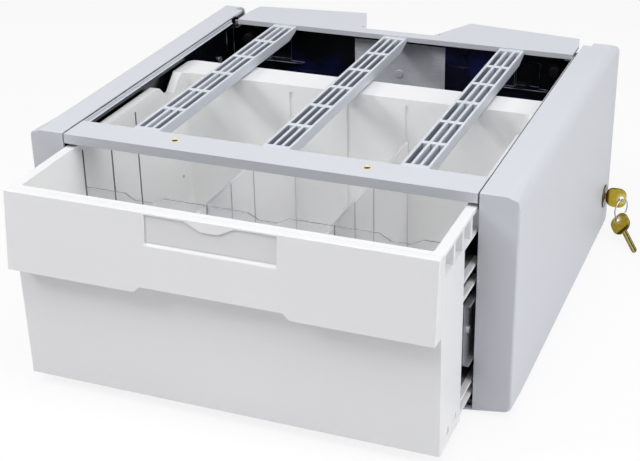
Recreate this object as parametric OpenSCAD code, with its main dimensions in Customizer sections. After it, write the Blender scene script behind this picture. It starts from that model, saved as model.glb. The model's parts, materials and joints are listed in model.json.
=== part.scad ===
// Lockable storage drawer module: two moulded side covers, a steel inner box,
// a slatted top frame and one deep drawer on ball slides, shown part open.
// Y = 0 is mid depth of the covers, Z = 0 is the base they stand on.

/* [Body] */
// Overall width across the two side covers
body_w = 436; // [420:1:450]
// Overall height of the side covers
body_h = 200; // [196:1:210]
// Depth from the front of the covers to the crown of their bowed rear edge
body_d = 411; // [408:1:420]
// Width of one side cover across its front face
cover_w = 32.7; // [31:0.1:35]
// Wall thickness of the moulded side covers
cover_t = 3; // [2.5:0.1:3.5]
// Radius of the bow in the rear edge of the covers
bow_r = 250; // [230:5:290]

/* [Top frame] */
// Depth of the front crossbar
bar_d = 32.7; // [30:0.1:36]
// Width of one slat
slat_w = 25; // [22:0.5:27]
// Distance from the middle slat to each outer slat
slat_pitch = 121.5; // [112:0.5:126]
// Distance between the two threaded inserts
insert_pitch = 173; // [160:1:180]
// Thread core radius of the inserts
insert_r = 2.5; // [2:0.1:3]

/* [Drawer] */
// Distance the drawer stands open
open_d = 95; // [70:1:105]
// Gap between the drawer front and each side cover
side_gap = 1.8; // [1.4:0.1:2.2]
// Width of the flange around the drawer's rim
rim_w = 8.5; // [8:0.1:9]
// Drop from the top of the covers to the drawer's rim
rim_drop = 12.8; // [12.2:0.1:14]
// Depth of the flat ledge behind the drawer's rear wall
ledge_d = 36; // [32:1:40]
// Wall thickness of the drawer
tub_t = 2.5; // [2.2:0.1:2.8]
// Height of the dividers' top edge above the base
divider_top = 145; // [120:1:160]
// Width of the label recess
label_w = 112.6; // [90:0.1:130]
// Width of the finger notch under the drawer front
finger_w = 134; // [110:1:160]

/* [Lock] */
// Radius of the lock's front flange
lock_flange_r = 12; // [11:0.5:13]
// Radius of the turning plug
plug_r = 6.4; // [6:0.1:6.8]
// Width of a key's bow
bow_w = 21; // [19:0.5:22]

/* [Hidden] */
$fn = 64;

// Names of all pieces

// Colours
plastic_grey = [0.80, 0.82, 0.85];
slat_grey = [0.74, 0.76, 0.80];
steel_black = [0.07, 0.07, 0.09];
steel_zinc = [0.55, 0.57, 0.60];
steel_blue = [0.45, 0.48, 0.56];
drawer_white = [0.92, 0.92, 0.93];
clear_plastic = [0.85, 0.88, 0.90, 0.35];
brass_yellow = [0.80, 0.64, 0.30];
rubber_black = [0.10, 0.10, 0.10];

// Clearances and small overlaps
eps = 0.01;
cut = 1;
loose = 0.25;
running = 0.05;

// Main planes, measured from the front face of the covers
half_w = body_w / 2;
in_x = half_w - cover_w;
y_mid = body_d / 2;
crown_z = body_h - 94;
top_edge_r = 13;
base_edge_r = 8;
front_edge_r = 5;
rear_edge_r = 20;
top_rear_r = 36;
base_rear_r = 38;
foot_reach = 13.3;
foot_x = in_x - foot_reach;
rear_step_x = 8.5;
rear_step_y = body_d - 39;
rear_step_drop = 26;

// Steel sheet
sheet = 1.2;
plate_gap = 5.1;
plate_x = in_x + plate_gap;
plate_y0 = 5;
plate_y1 = body_d - 59;
pan_z = cover_t;
pan_top = pan_z + sheet;
fold_top = body_h - 8.4;
seat_top = fold_top + sheet;
seat_x = in_x - 7.3;
front_seat_y = [8, 30];
panel_y = plate_y1 + 3;
panel_top = body_h - 3;
panel_flange = 17;
lining_top = body_h - 1;
rear_seat_y = [panel_y - 14, panel_y - 4];

// Top frame
bar_top = body_h - 0.8;
bar_lip = 9.4 - 0.8;
bar_half = in_x - sheet - loose;
bar_wall = 3;
bar_y0 = 0.3;
bar_y1 = bar_y0 + bar_d;
seat_block_x = [seat_x - 1, bar_half];
insert_y = 19.5;
insert_out_r = 4.6;
insert_l = 8;
boss_wall = 3;
rear_bar_y = panel_y - 15;
rear_bar_half = in_x - 3.3;
rear_bar_lip = 5;
rear_mid_y = panel_y - 1;
tab_in_base = 36;
tab_in_tip = 57.5;
tab_tip_in_y = body_d - 7.5;
tab_tip_out_y = body_d - 21;
tab_side_y = body_d - 43;
tab_hole = [tab_in_base + 5.5, body_d - 53];
tab_hole_r = 1.2;
slat_h = 10.6;
slat_top = bar_top;
slat_y0 = bar_y1;
slat_y1 = rear_bar_y;
slat_rows = 6;
slat_cols = 3;
slat_rib = 2.8;
slat_bridge = 5;
slat_end = 6;
slat_floor = 1.6;
strip_t = 0.9;
strip_z = [body_h - 4.6, body_h - 1.2];
strip_lip = [2, 0.8];

// Drawer, measured with the drawer closed
front_half = in_x - side_gap;
tub_half = front_half - rim_w;
wall_x = tub_half + tub_t;
rim_z = body_h - rim_drop;
rim_t = 3;
floor_top = 14.5;
front_base = 10.6;
tub_y0 = 13.5;
bumper_l = 18.5;
bumper_gap = 1;
tub_rear = panel_y - bumper_l - bumper_gap;
tub_y1 = tub_rear - ledge_d;
tub_l = tub_y1 - tub_y0;
tub_rear_r = 7;
tub_front_r = 2;
ledge_lip = 15;
ledge_r = 9;
shoulder_z = 118.9;
lean = 7.3;
wall_front_y = 7.5;
wall_front_top = 8;
wall_front_base = 10.1;
rib_t = 2.5;
long_rib_z = [15.5, 27.5, rim_z - 22.7];
short_rib_z = [119.5, 135.5];
gusset_t = 4.5;
gusset_pitch = 22.4;
gusset_y0 = 12.8;
cheek_t = 2.2;
cheek_y1 = 65;
short_rib_y1 = cheek_y1 + 45;
cheek_top = rim_z - 21;
rim_notch_y = [tub_y1 - 47.5, tub_y1 - 1.5];
rim_notch_foot = [tub_y1 - 31.5, tub_y1 - 18.5];
rim_notch_d = 15;
notch_crest_r = 10;
notch_block = [8, 4];
groove_w = 3.6;
cross_groove_w = 2.6;
groove_d = 1.3;
groove_top = rim_z - 7;
bay_x = tub_half / 3;
cross_pitch = tub_l / 6;
cross_mid = tub_y0 + tub_l / 2;
cross_y = [cross_mid - cross_pitch, cross_mid, cross_mid + cross_pitch];
divider_t = 3;
divider_groove = 1;
cross_t = 2;
scoop_top = 38;
scoop_foot = 17;
scoop_d = 5.6;
front_wall = 3;
lean_a = atan(lean / (rim_z - shoulder_z));
pull_top = rim_z - 30;
finger_rise = 5.2;
finger_slope = 5;
label_top = 1.8;
label_foot = 27.4;
label_d = 2;
label_bevel = 2.4;
tongue_top = 42;
tongue_foot = 15;
tongue_l = 6.8;
tongue_t = 0.8;
card_t = 0.5;

// Slides
slide_z = [44, 114];
slide_mid = (slide_z[0] + slide_z[1]) / 2;
outer_y = [6, panel_y - 25];
race_y0 = cheek_y1 + 1.5;
lip_w = sheet;
lip_h = 5.5;
lip_x = plate_x - 10.4;
ball_r = 2.5;
race_gap = 0.35;
ball_x = lip_x + lip_w + race_gap + ball_r;
ball_dz = slide_z[1] - sheet - race_gap - ball_r - slide_mid;
inner_flange_dz = ball_dz - ball_r - race_gap;
inner_x1 = ball_x + 0.55;
inner_y = [cheek_y1 + 17, tub_rear - 10.5];
side_y0 = cheek_y1 + 2;
side_z = [long_rib_z[1] + rib_t + 1, long_rib_z[2] - 0.3];
inner_x0 = wall_x + sheet;
cage_t = 0.8;
cage_x = plate_x - 3.2;
cage_l = 60;
cage_y0 = 172;
cage_rest_y = cage_y0 - open_d / 2;
balls_per_row = 4;
ball_pitch = 14;
rivet_r = 3;
rivet_h = 0.8;
rivet_shank = 1.6;
outer_rivet_y = spread(outer_y[0] + 14, outer_y[1] - 12, 4);
inner_screw_y = spread(inner_y[0] + 12, inner_y[1] - 35, 3);
screw_head_h = 1.5;
screw_head_r = 3.2;

// Screws and bumpers
screw_rows = [25, body_h - 40];
screw_cols = [plate_y0 + 25, plate_y1 - 32];
cover_screw_yz = [for (y = screw_cols) for (z = screw_rows) [y, z]];
boss_r = 4.5;
pilot_r = 1.5;
shank_r = 1.45;
hole_r = 2;
head_h = 1.8;
head_r = 3.4;
cover_screw_l = 12;
frame_screw_x = seat_x + 2.5;
frame_screw_l = 4.6;
bumper_x = 165;
bumper_z = rim_z - 7;
bumper_r = 5;

// Rear panel slots and pockets
catch_slot_x = [in_x - 13.3, in_x + 2.7];
catch_slot_z = [30, 76];
pocket_x = [122, 147];
pocket_z = [body_h - 45, body_h - 18];
pocket_d = 7;
ledge_x = [108, 156];
ledge_reach = 5;
centre_half = 49;
centre_z = [40, body_h - 12];
centre_boss_z = body_h - 45;
centre_boss_r = 4;

// Lock and catch
lock_inset = 42;
lock_y = body_d - lock_inset;
lock_z = 42;
flange_t = 1.5;
barrel_r = 9.4;
barrel_flat = 8.2;
barrel_x0 = in_x + 4.7;
nut_t = 5;
nut_r = 13.8;
cam_x = [in_x - 0.7, in_x + 1.7];
cam_l = 30;
cam_w = 12;
cam_hub_r = 8;
stem_r = 3;
cam_head_t = 2.2;
cam_head_r = 5;
catch_z = [52, 66];
catch_t = 1.5;
catch_x = tub_half + 1;
catch_tab_y = lock_y + 9.5;
catch_foot = 26;
catch_rivet_r = 2.6;
catch_rivet_in = [10, 21];
keyway_w = 2.4;
keyway_h = 7.2;
key_t = 2;
bow_t = 2.6;
bow_corner_r = 7;
bow_taper = 5;
shoulder_w = 9;
blade_w = 6.4;
blade_tip = 4;
groove_z = [-0.6, 1.3];
key_groove_d = 0.45;
blade_l = 29.5;
bow_l = 21;
hole_inset = 4.3;
key_hole_r = 2.4;
ring_r = 10.6;
wire_r = 0.7;
key_face_x = half_w + flange_t + 0.3;
key_hole_x = key_face_x + bow_l - hole_inset;
hang = key_hole_r - wire_r - 0.5;
ring_z = lock_z - hang - ring_r;
ring_turn = -25;
spare_place = 25;
spare_heading = -53;
spare_dip = 23.5;

// Evenly spread positions from one end to the other
function spread(first, last, count) = [
    for (i = [0 : count - 1]) first + i * (last - first) / (count - 1)
];

// Moves a piece from the front reference into the part's own frame
module placed() {
    translate([0, -y_mid, 0])
        children();
}

// Moves a drawer piece, drawn closed, to where the drawer stands
module in_drawer() {
    placed()
        translate([0, -open_d, 0])
            children();
}

// Box between two corners
module box(low, high) {
    translate(low)
        cube(high - low);
}

// Draws a piece and its mirror image across the middle
module both_sides() {
    children();
    mirror([1, 0, 0])
        children();
}

// Puts a piece drawn for the right on the side that is asked for
module on_side(side) {
    if (side == "left")
        mirror([1, 0, 0])
            children();
    else
        children();
}

// Flat outline in the YZ plane, given some thickness along X
module slab_x(x0, x1) {
    translate([x0, 0, 0])
        rotate([90, 0, 90])
            linear_extrude(x1 - x0)
                children();
}

// Flat outline in the XZ plane, given some thickness along Y
module slab_y(y0, y1) {
    translate([0, y1, 0])
        rotate([90, 0, 0])
            linear_extrude(y1 - y0)
                children();
}

// Cylinder along X from one plane to another
module rod_x(x0, x1, y, z, r) {
    translate([x0, y, z])
        rotate([0, 90, 0])
            cylinder(h = x1 - x0, r = r);
}

// Waste outside a rounded corner whose tip is at the origin, top right
module corner_waste(r) {
    difference() {
        translate([-r, -r])
            square(r + cut);
        translate([-r, -r])
            circle(r);
    }
}

// Cross-section of a cover: rounded at its top and bottom outer edges
module cover_section(inset) {
    difference() {
        translate([foot_x, inset])
            square([half_w - inset - foot_x, body_h - 2 * inset]);
        translate([half_w - inset, body_h - inset])
            corner_waste(top_edge_r - inset);
        translate([half_w - inset, inset])
            mirror([0, 1])
                corner_waste(base_edge_r - inset);
    }
}

// Side view of a cover: straight front, bowed rear edge, rounded rear corners
module cover_side_view(inset) {
    intersection() {
        difference() {
            translate([inset, inset])
                square([body_d - 2 * inset, body_h - 2 * inset]);
            translate([body_d - inset, body_h - inset])
                corner_waste(top_rear_r - inset);
            translate([body_d - inset, inset])
                mirror([0, 1])
                    corner_waste(base_rear_r - inset);
        }
        translate([body_d - bow_r, crown_z])
            circle(bow_r - inset, $fn = 180);
    }
}

// Plan of a cover: small front edge radius, larger rear edge radius
module cover_plan(inset) {
    difference() {
        translate([foot_x - cut, inset])
            square([half_w - inset - foot_x + cut, body_d - 2 * inset]);
        translate([half_w - inset, inset])
            mirror([0, 1])
                corner_waste(front_edge_r - inset);
        translate([half_w - inset, body_d - inset])
            corner_waste(rear_edge_r - inset);
    }
}

// Solid that three outlines of a cover have in common
module cover_block(inset) {
    intersection() {
        slab_y(0, body_d)
            cover_section(inset);
        slab_x(foot_x - cut, half_w)
            cover_side_view(inset);
        linear_extrude(body_h)
            cover_plan(inset);
    }
}

// Hollow side cover, open towards the drawer, with an inward foot flange
module cover_shell() {
    difference() {
        cover_block(0);
        difference() {
            cover_block(cover_t);
            for (p = cover_screw_yz)
                rod_x(plate_x + sheet, half_w, p[0], p[1], boss_r);
        }
        box([foot_x - cut, -cut, cover_t], [in_x, body_d + cut, body_h + cut]);
        box([in_x - cut, rear_step_y, body_h - rear_step_drop],
            [in_x + rear_step_x, body_d + cut, body_h + cut]);
        box([foot_x - cut, plate_y1, -cut], [in_x, body_d + cut, body_h]);
        for (p = cover_screw_yz)
            rod_x(plate_x, plate_x + sheet + cover_screw_l, p[0], p[1], pilot_r);
    }
}

module left_cover() {
    color(plastic_grey)
        placed()
            on_side("left")
                cover_shell();
}

module right_cover() {
    color(plastic_grey)
        placed()
            difference() {
                cover_shell();
                rod_x(in_x, half_w + cut, lock_y, lock_z, barrel_r + loose);
            }
}

// Steel side wall: its top is folded inwards and up as a lining, slotted for the bar seats
module side_plate() {
    fold_x = in_x - sheet;
    difference() {
        union() {
            box([plate_x, plate_y0, pan_top], [plate_x + sheet, plate_y1, fold_top]);
            box([fold_x, plate_y0, fold_top - sheet], [plate_x + eps, plate_y1, fold_top]);
            box([fold_x, plate_y0, fold_top - sheet], [in_x, plate_y1, lining_top]);
        }
        for (p = cover_screw_yz)
            rod_x(plate_x - cut, plate_x + sheet + cut, p[0], p[1], hole_r);
        for (y = outer_rivet_y)
            rod_x(plate_x - cut, plate_x + sheet + cut, y, slide_mid, rivet_shank + running);
        for (y = [front_seat_y, rear_seat_y])
            box([fold_x - cut, y[0] - loose, fold_top], [in_x + cut, y[1] + loose, seat_top + loose]);
    }
}

module left_side_plate() {
    color(steel_black)
        placed()
            on_side("left")
                side_plate();
}

module right_side_plate() {
    color(steel_black)
        placed()
            side_plate();
}

// Steel tabs that stand in the lining's slots and carry the ends of the crossbars
module bar_seats() {
    color(steel_black)
        placed()
            both_sides()
                for (y = [front_seat_y, rear_seat_y])
                    difference() {
                        box([seat_x, y[0], fold_top], [in_x, y[1], seat_top]);
                        translate([frame_screw_x, (y[0] + y[1]) / 2, fold_top - cut])
                            cylinder(h = sheet + 2 * cut, r = hole_r);
                    }
}

// Floor of the steel box: dished to the base plane, edges lying on the covers' feet, low front hem
module base_pan() {
    hem = 4.8;
    dish_x = foot_x - loose;
    color(steel_black)
        placed() {
            box([-dish_x, plate_y0, 0], [dish_x, panel_y + sheet, sheet]);
            box([-dish_x, plate_y0, 0], [dish_x, plate_y0 + sheet, pan_top + hem]);
            both_sides() {
                box([dish_x - sheet, plate_y0, 0], [dish_x, panel_y + sheet, pan_top]);
                box([dish_x - sheet, plate_y0, pan_z], [plate_x + sheet, panel_y + sheet, pan_top]);
                box([dish_x - sheet, plate_y0, pan_z], [plate_x - cut, plate_y0 + sheet, pan_top + hem]);
            }
        }
}

// Rear wall of the steel box with its flanges, slots for the catch and two pressed pockets
module rear_panel() {
    foot_half = foot_x - 2.5;
    color(steel_black)
        placed() {
            difference() {
                union() {
                    box([-plate_x, panel_y, pan_top], [plate_x, panel_y + sheet, panel_top]);
                    box([-foot_half, panel_y, sheet], [foot_half, panel_y + sheet, pan_top + cut]);
                }
                both_sides() {
                    box([catch_slot_x[0], panel_y - cut, catch_slot_z[0]],
                        [catch_slot_x[1], panel_y + sheet + cut, catch_slot_z[1]]);
                    box([pocket_x[0], panel_y - cut, pocket_z[0]],
                        [pocket_x[1], panel_y + sheet + cut, pocket_z[1]]);
                }
            }
            both_sides() {
                box([plate_x - sheet, panel_y - panel_flange, pan_top + 16],
                    [plate_x, panel_y + eps, panel_top - 11]);
                box([ledge_x[0], panel_y - ledge_reach, pocket_z[0] - sheet],
                    [ledge_x[1], panel_y + eps, pocket_z[0]]);
                difference() {
                    box([pocket_x[0] - sheet, panel_y + eps, pocket_z[0] - sheet],
                        [pocket_x[1] + sheet, panel_y + pocket_d, pocket_z[1] + sheet]);
                    box([pocket_x[0], panel_y - cut, pocket_z[0]],
                        [pocket_x[1], panel_y + pocket_d - sheet, pocket_z[1]]);
                }
            }
        }
}

// Plate riveted on the middle of the rear wall
module rear_centre_plate() {
    color(steel_blue)
        placed() {
            box([-centre_half, panel_y - sheet, centre_z[0]], [centre_half, panel_y, centre_z[1]]);
            translate([0, panel_y - sheet + eps, centre_boss_z])
                rotate([90, 0, 0])
                    cylinder(h = 1.2, r = centre_boss_r);
        }
}

// Front bar: a shallow channel with a front lip, end seats and two insert bosses
module front_crossbar() {
    lip_z = bar_top - bar_lip;
    color(plastic_grey)
        placed()
            difference() {
                union() {
                    box([-bar_half, bar_y0, bar_top - bar_wall], [bar_half, bar_y1, bar_top]);
                    box([-bar_half, bar_y0, lip_z], [bar_half, bar_y0 + bar_wall, bar_top]);
                    box([-bar_half, bar_y1 - bar_wall, lip_z], [bar_half, bar_y1, bar_top]);
                    both_sides() {
                        box([seat_block_x[0], front_seat_y[0], seat_top],
                            [seat_block_x[1], front_seat_y[1], bar_top]);
                        translate([insert_pitch / 2, insert_y, lip_z])
                            cylinder(h = bar_lip - eps, r = insert_out_r + boss_wall);
                    }
                }
                both_sides() {
                    translate([insert_pitch / 2, insert_y, bar_top - insert_l])
                        cylinder(h = insert_l + cut, r = insert_out_r);
                    translate([frame_screw_x, (front_seat_y[0] + front_seat_y[1]) / 2, seat_top - cut])
                        cylinder(h = frame_screw_l + cut, r = pilot_r);
                }
            }
}

// Outline of the rear bar and its two tabs, right half
module rear_bar_half() {
    polygon([
        [0, rear_bar_y], [rear_bar_half, rear_bar_y], [rear_bar_half, tab_side_y],
        [rear_bar_half - 4, tab_tip_out_y], [tab_in_tip, tab_tip_in_y],
        [tab_in_base, rear_mid_y], [0, rear_mid_y]
    ]);
}

module rear_crossbar() {
    color(plastic_grey)
        placed()
            difference() {
                union() {
                    both_sides()
                        translate([0, 0, body_h - bar_wall])
                            linear_extrude(bar_wall)
                                rear_bar_half();
                    box([-rear_bar_half, rear_bar_y, body_h - rear_bar_lip],
                        [rear_bar_half, rear_bar_y + bar_wall, body_h - eps]);
                    both_sides()
                        box([seat_x - 4, rear_seat_y[0] + 1, seat_top],
                            [rear_bar_half, rear_seat_y[1], body_h - eps]);
                }
                both_sides() {
                    translate([tab_hole[0], tab_hole[1], body_h - bar_wall - cut])
                        cylinder(h = bar_wall + 2 * cut, r = tab_hole_r);
                    translate([frame_screw_x, (rear_seat_y[0] + rear_seat_y[1]) / 2, seat_top - cut])
                        cylinder(h = frame_screw_l + cut, r = pilot_r);
                }
            }
}

// One slat: a ladder of slots closed below, with its underside cut back at the rear end
module slat(x) {
    run = slat_y1 - slat_y0;
    slot_w = (slat_w - (slat_cols + 1) * slat_rib) / slat_cols;
    slot_l = (run - 2 * slat_end - (slat_rows - 1) * slat_bridge) / slat_rows;
    chamfer = 18;
    tip = 5;
    base = slat_top - slat_h;
    translate([x, 0, 0]) {
        slab_x(-slat_w / 2, slat_w / 2)
            polygon([
                [slat_y0, base], [slat_y1 - chamfer, base], [slat_y1, slat_top - tip],
                [slat_y1, slat_top - tip + slat_floor], [slat_y1 - chamfer, base + slat_floor],
                [slat_y0, base + slat_floor]
            ]);
        difference() {
            slab_x(-slat_w / 2, slat_w / 2)
                polygon([
                    [slat_y0, slat_top], [slat_y1, slat_top], [slat_y1, slat_top - tip],
                    [slat_y1 - chamfer, base], [slat_y0, base]
                ]);
            for (col = [0 : slat_cols - 1])
                for (row = [0 : slat_rows - 1])
                    translate([
                        -slat_w / 2 + slat_rib + col * (slot_w + slat_rib),
                        slat_y0 + slat_end + row * (slot_l + slat_bridge),
                        base - cut
                    ])
                        cube([slot_w, slot_l, slat_h + 2 * cut]);
        }
    }
}

module slat_left() {
    color(slat_grey)
        placed()
            slat(-slat_pitch);
}

module slat_centre() {
    color(slat_grey)
        placed()
            slat(0);
}

module slat_right() {
    color(slat_grey)
        placed()
            slat(slat_pitch);
}

// Thin strip on the inner face of the lining, with a small lip along its lower edge
module edge_strip() {
    face = in_x - sheet;
    box([face - strip_t, bar_y1, strip_z[0] - eps], [face, rear_bar_y, strip_z[1]]);
    box([face - strip_lip[0], bar_y1, strip_z[0] - strip_lip[1]], [face, rear_bar_y, strip_z[0]]);
}

module edge_strip_left() {
    color(slat_grey)
        placed()
            on_side("left")
                edge_strip();
}

module edge_strip_right() {
    color(slat_grey)
        placed()
            edge_strip();
}

// Brass inserts in the front bar that take the fixing screws from above
module threaded_inserts() {
    color(brass_yellow)
        placed()
            both_sides()
                translate([insert_pitch / 2, insert_y, bar_top - insert_l])
                    difference() {
                        cylinder(h = insert_l, r = insert_out_r);
                        translate([0, 0, -cut])
                            cylinder(h = insert_l + 2 * cut, r = insert_r);
                    }
}

// Pan head screw pointing along +Z, head below the origin plane
module pan_screw(length) {
    translate([0, 0, -head_h])
        cylinder(h = head_h, r = head_r);
    translate([0, 0, -eps])
        cylinder(h = length + eps, r = shank_r);
}

module frame_screws() {
    color(steel_zinc)
        placed()
            both_sides()
                for (y = [front_seat_y, rear_seat_y])
                    translate([frame_screw_x, (y[0] + y[1]) / 2, fold_top])
                        pan_screw(sheet + frame_screw_l - 0.5);
}

module cover_screws() {
    color(steel_zinc)
        placed()
            both_sides()
                for (p = cover_screw_yz)
                    translate([plate_x, p[0], p[1]])
                        rotate([0, 90, 0])
                            pan_screw(sheet + cover_screw_l - 0.5);
}

// Rubber stops for the closed drawer
module rear_bumpers() {
    color(rubber_black)
        placed()
            both_sides()
                translate([bumper_x, panel_y, bumper_z])
                    rotate([90, 0, 0])
                        cylinder(h = bumper_l, r = bumper_r);
}

// Fixed channel of a slide: web, two flanges and the lips that guard the balls
module slide_outer() {
    difference() {
        union() {
            box([plate_x - sheet, outer_y[0], slide_z[0]], [plate_x, outer_y[1], slide_z[1]]);
            for (up = [0, 1])
                translate([0, 0, slide_mid])
                    mirror([0, 0, up]) {
                        box([lip_x, race_y0, slide_z[1] - sheet - slide_mid],
                            [plate_x, outer_y[1], slide_z[1] - slide_mid]);
                        box([lip_x, race_y0, slide_z[1] - lip_h - slide_mid],
                            [lip_x + lip_w, outer_y[1], slide_z[1] - slide_mid]);
                    }
        }
        for (y = outer_rivet_y)
            rod_x(plate_x - sheet - cut, plate_x + cut, y, slide_mid, rivet_shank + running);
    }
}

module slide_outer_left() {
    color(steel_zinc)
        placed()
            on_side("left")
                slide_outer();
}

module slide_outer_right() {
    color(steel_zinc)
        placed()
            slide_outer();
}

// Low rivets that hold the fixed channels to the side walls
module slide_rivets() {
    color(steel_zinc)
        placed()
            both_sides()
                for (y = outer_rivet_y) {
                    rod_x(plate_x - sheet - rivet_h, plate_x - sheet, y, slide_mid, rivet_r);
                    rod_x(plate_x - sheet - eps, plate_x + sheet + eps, y, slide_mid, rivet_shank);
                    rod_x(plate_x + sheet, plate_x + sheet + rivet_h, y, slide_mid, rivet_r);
                }
}

// Centres of the balls along one row of a cage
function ball_ys() = [
    for (i = [0 : balls_per_row - 1])
        cage_rest_y + cage_l / 2 + (i - (balls_per_row - 1) / 2) * ball_pitch
];

// Cage that spaces the balls, a channel of thin sheet
module ball_cage() {
    difference() {
        union() {
            box([cage_x, cage_rest_y, slide_mid - ball_dz],
                [cage_x + cage_t, cage_rest_y + cage_l, slide_mid + ball_dz]);
            for (s = [-1, 1])
                translate([0, 0, slide_mid + s * ball_dz])
                    box([ball_x - ball_r + 0.9, cage_rest_y, -cage_t / 2],
                        [cage_x + cage_t, cage_rest_y + cage_l, cage_t / 2]);
        }
        for (s = [-1, 1])
            for (y = ball_ys())
                translate([ball_x, y, slide_mid + s * ball_dz - cut])
                    cylinder(h = 2 * cut, r = ball_r + running);
    }
}

module ball_cage_left() {
    color(steel_zinc)
        placed()
            on_side("left")
                ball_cage();
}

module ball_cage_right() {
    color(steel_zinc)
        placed()
            ball_cage();
}

// Two rows of balls in one cage
module slide_balls() {
    for (s = [-1, 1])
        for (y = ball_ys())
            translate([ball_x, y, slide_mid + s * ball_dz])
                sphere(r = ball_r);
}

module slide_balls_left() {
    color(steel_zinc)
        placed()
            on_side("left")
                slide_balls();
}

module slide_balls_right() {
    color(steel_zinc)
        placed()
            slide_balls();
}

// Moving channel of a slide, fixed to the drawer's side
module slide_inner() {
    difference() {
        union() {
            box([inner_x0, inner_y[0], slide_mid - inner_flange_dz],
                [inner_x0 + sheet, inner_y[1], slide_mid + inner_flange_dz]);
            for (up = [0, 1])
                translate([0, 0, slide_mid])
                    mirror([0, 0, up])
                        box([inner_x0, inner_y[0], inner_flange_dz - sheet],
                            [inner_x1, inner_y[1], inner_flange_dz]);
        }
        for (y = inner_screw_y)
            rod_x(inner_x0 - cut, inner_x0 + sheet + cut, y, slide_mid, rivet_shank + running);
    }
}

module slide_inner_left() {
    color(steel_zinc)
        in_drawer()
            on_side("left")
                slide_inner();
}

module slide_inner_right() {
    color(steel_zinc)
        in_drawer()
            slide_inner();
}

// Steel side sheet behind the moving channel, slotted at the front for the drawer's short ribs
module drawer_side() {
    difference() {
        box([wall_x, side_y0, side_z[0]], [inner_x0, inner_y[1], side_z[1]]);
        for (z = short_rib_z)
            box([wall_x - cut, side_y0 - cut, z - loose],
                [inner_x0 + cut, short_rib_y1 + loose, z + rib_t + loose]);
        for (y = inner_screw_y)
            rod_x(wall_x - cut, inner_x0 + cut, y, slide_mid, rivet_shank + running);
    }
}

module drawer_side_left() {
    color(steel_black)
        in_drawer()
            on_side("left")
                drawer_side();
}

module drawer_side_right() {
    color(steel_black)
        in_drawer()
            drawer_side();
}

// Screws from the moving channels into the drawer's walls
module drawer_screws() {
    color(steel_zinc)
        in_drawer()
            both_sides()
                for (y = inner_screw_y) {
                    rod_x(inner_x0 + sheet, inner_x0 + sheet + screw_head_h, y, slide_mid, screw_head_r);
                    rod_x(tub_half + 0.4, inner_x0 + sheet + eps, y, slide_mid, rivet_shank);
                }
}

// Rim flange with the ribbed band under it and the stiffening ribs, right side
module tub_side() {
    gussets = floor((tub_y1 - gusset_y0) / gusset_pitch);
    box([wall_x - eps, wall_front_y, rim_z - rim_t], [front_half, tub_y1 + eps, rim_z]);
    for (z = long_rib_z)
        box([wall_x - eps, wall_front_base, z], [front_half, tub_y1, z + rib_t]);
    for (z = short_rib_z)
        box([wall_x - eps, wall_front_base, z], [front_half, short_rib_y1, z + rib_t]);
    box([wall_x - eps, rim_notch_y[0] - notch_block[0], rim_z - rim_notch_d - notch_block[1]],
        [front_half, tub_y1 + eps, rim_z]);
    for (i = [1 : gussets])
        box([wall_x - eps, gusset_y0 + i * gusset_pitch, rim_z - 21],
            [front_half, gusset_y0 + i * gusset_pitch + gusset_t, rim_z - rim_t + eps]);
    difference() {
        box([front_half - cheek_t, wall_front_base, front_base], [front_half, cheek_y1, cheek_top]);
        for (y = [27, 47])
            box([front_half - 1, y, front_base + 8.5], [front_half + cut, y + 7, front_base + 15]);
    }
}

// Scoop through a side wall's rim near the rear corner, with a rounded front crest
module rim_notch() {
    fall = atan2(rim_notch_d, rim_notch_foot[0] - rim_notch_y[0]);
    reach = notch_crest_r * tan(fall / 2);
    crest_y = rim_notch_y[0] - reach;
    slab_x(tub_half - cut, front_half + cut) {
        polygon([
            [rim_notch_y[0] - 1, rim_z + 1], [rim_notch_foot[0], rim_z - rim_notch_d],
            [rim_notch_foot[1], rim_z - rim_notch_d], [rim_notch_y[1] + 1, rim_z + 1]
        ]);
        difference() {
            polygon([
                [crest_y, rim_z], [crest_y, rim_z + 1], [rim_notch_y[0] + 1, rim_z + 1],
                [rim_notch_y[0] + reach * cos(fall), rim_z - reach * sin(fall)]
            ]);
            translate([crest_y, rim_z - notch_crest_r + running])
                circle(notch_crest_r);
        }
    }
}

// Grooves that hold the dividers in the drawer's four walls
module tub_grooves() {
    for (x = [-bay_x, 0, bay_x])
        box([x - groove_w / 2, tub_y0 - groove_d, floor_top],
            [x + groove_w / 2, tub_y1 + groove_d, groove_top]);
    for (y = cross_y)
        box([-tub_half - groove_d, y - cross_groove_w / 2, floor_top],
            [tub_half + groove_d, y + cross_groove_w / 2, groove_top]);
}

// Plan of the ledge behind the drawer's rear wall, with rounded rear corners
module ledge_plan(inset) {
    side = front_half - inset;
    rear = tub_rear - inset;
    difference() {
        translate([-side, tub_y1])
            square([2 * side, rear - tub_y1]);
        for (s = [0, 1])
            mirror([s, 0])
                translate([side, rear])
                    corner_waste(ledge_r - inset);
    }
}

// Ledge with a lip hanging from its three outer edges
module rear_ledge() {
    difference() {
        translate([0, 0, rim_z - ledge_lip])
            linear_extrude(ledge_lip)
                ledge_plan(0);
        translate([0, 0, rim_z - ledge_lip - cut])
            linear_extrude(ledge_lip - rim_t + cut)
                ledge_plan(tub_t);
    }
}

// Inside of the drawer, with rounded upright corners
module tub_inside() {
    translate([0, 0, floor_top])
        linear_extrude(rim_z - floor_top + cut)
            difference() {
                translate([-tub_half, tub_y0])
                    square([2 * tub_half, tub_l]);
                for (s = [0, 1])
                    mirror([s, 0]) {
                        translate([tub_half, tub_y1])
                            corner_waste(tub_rear_r);
                        translate([tub_half, tub_y0])
                            mirror([0, 1])
                                corner_waste(tub_front_r);
                    }
            }
}

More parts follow.
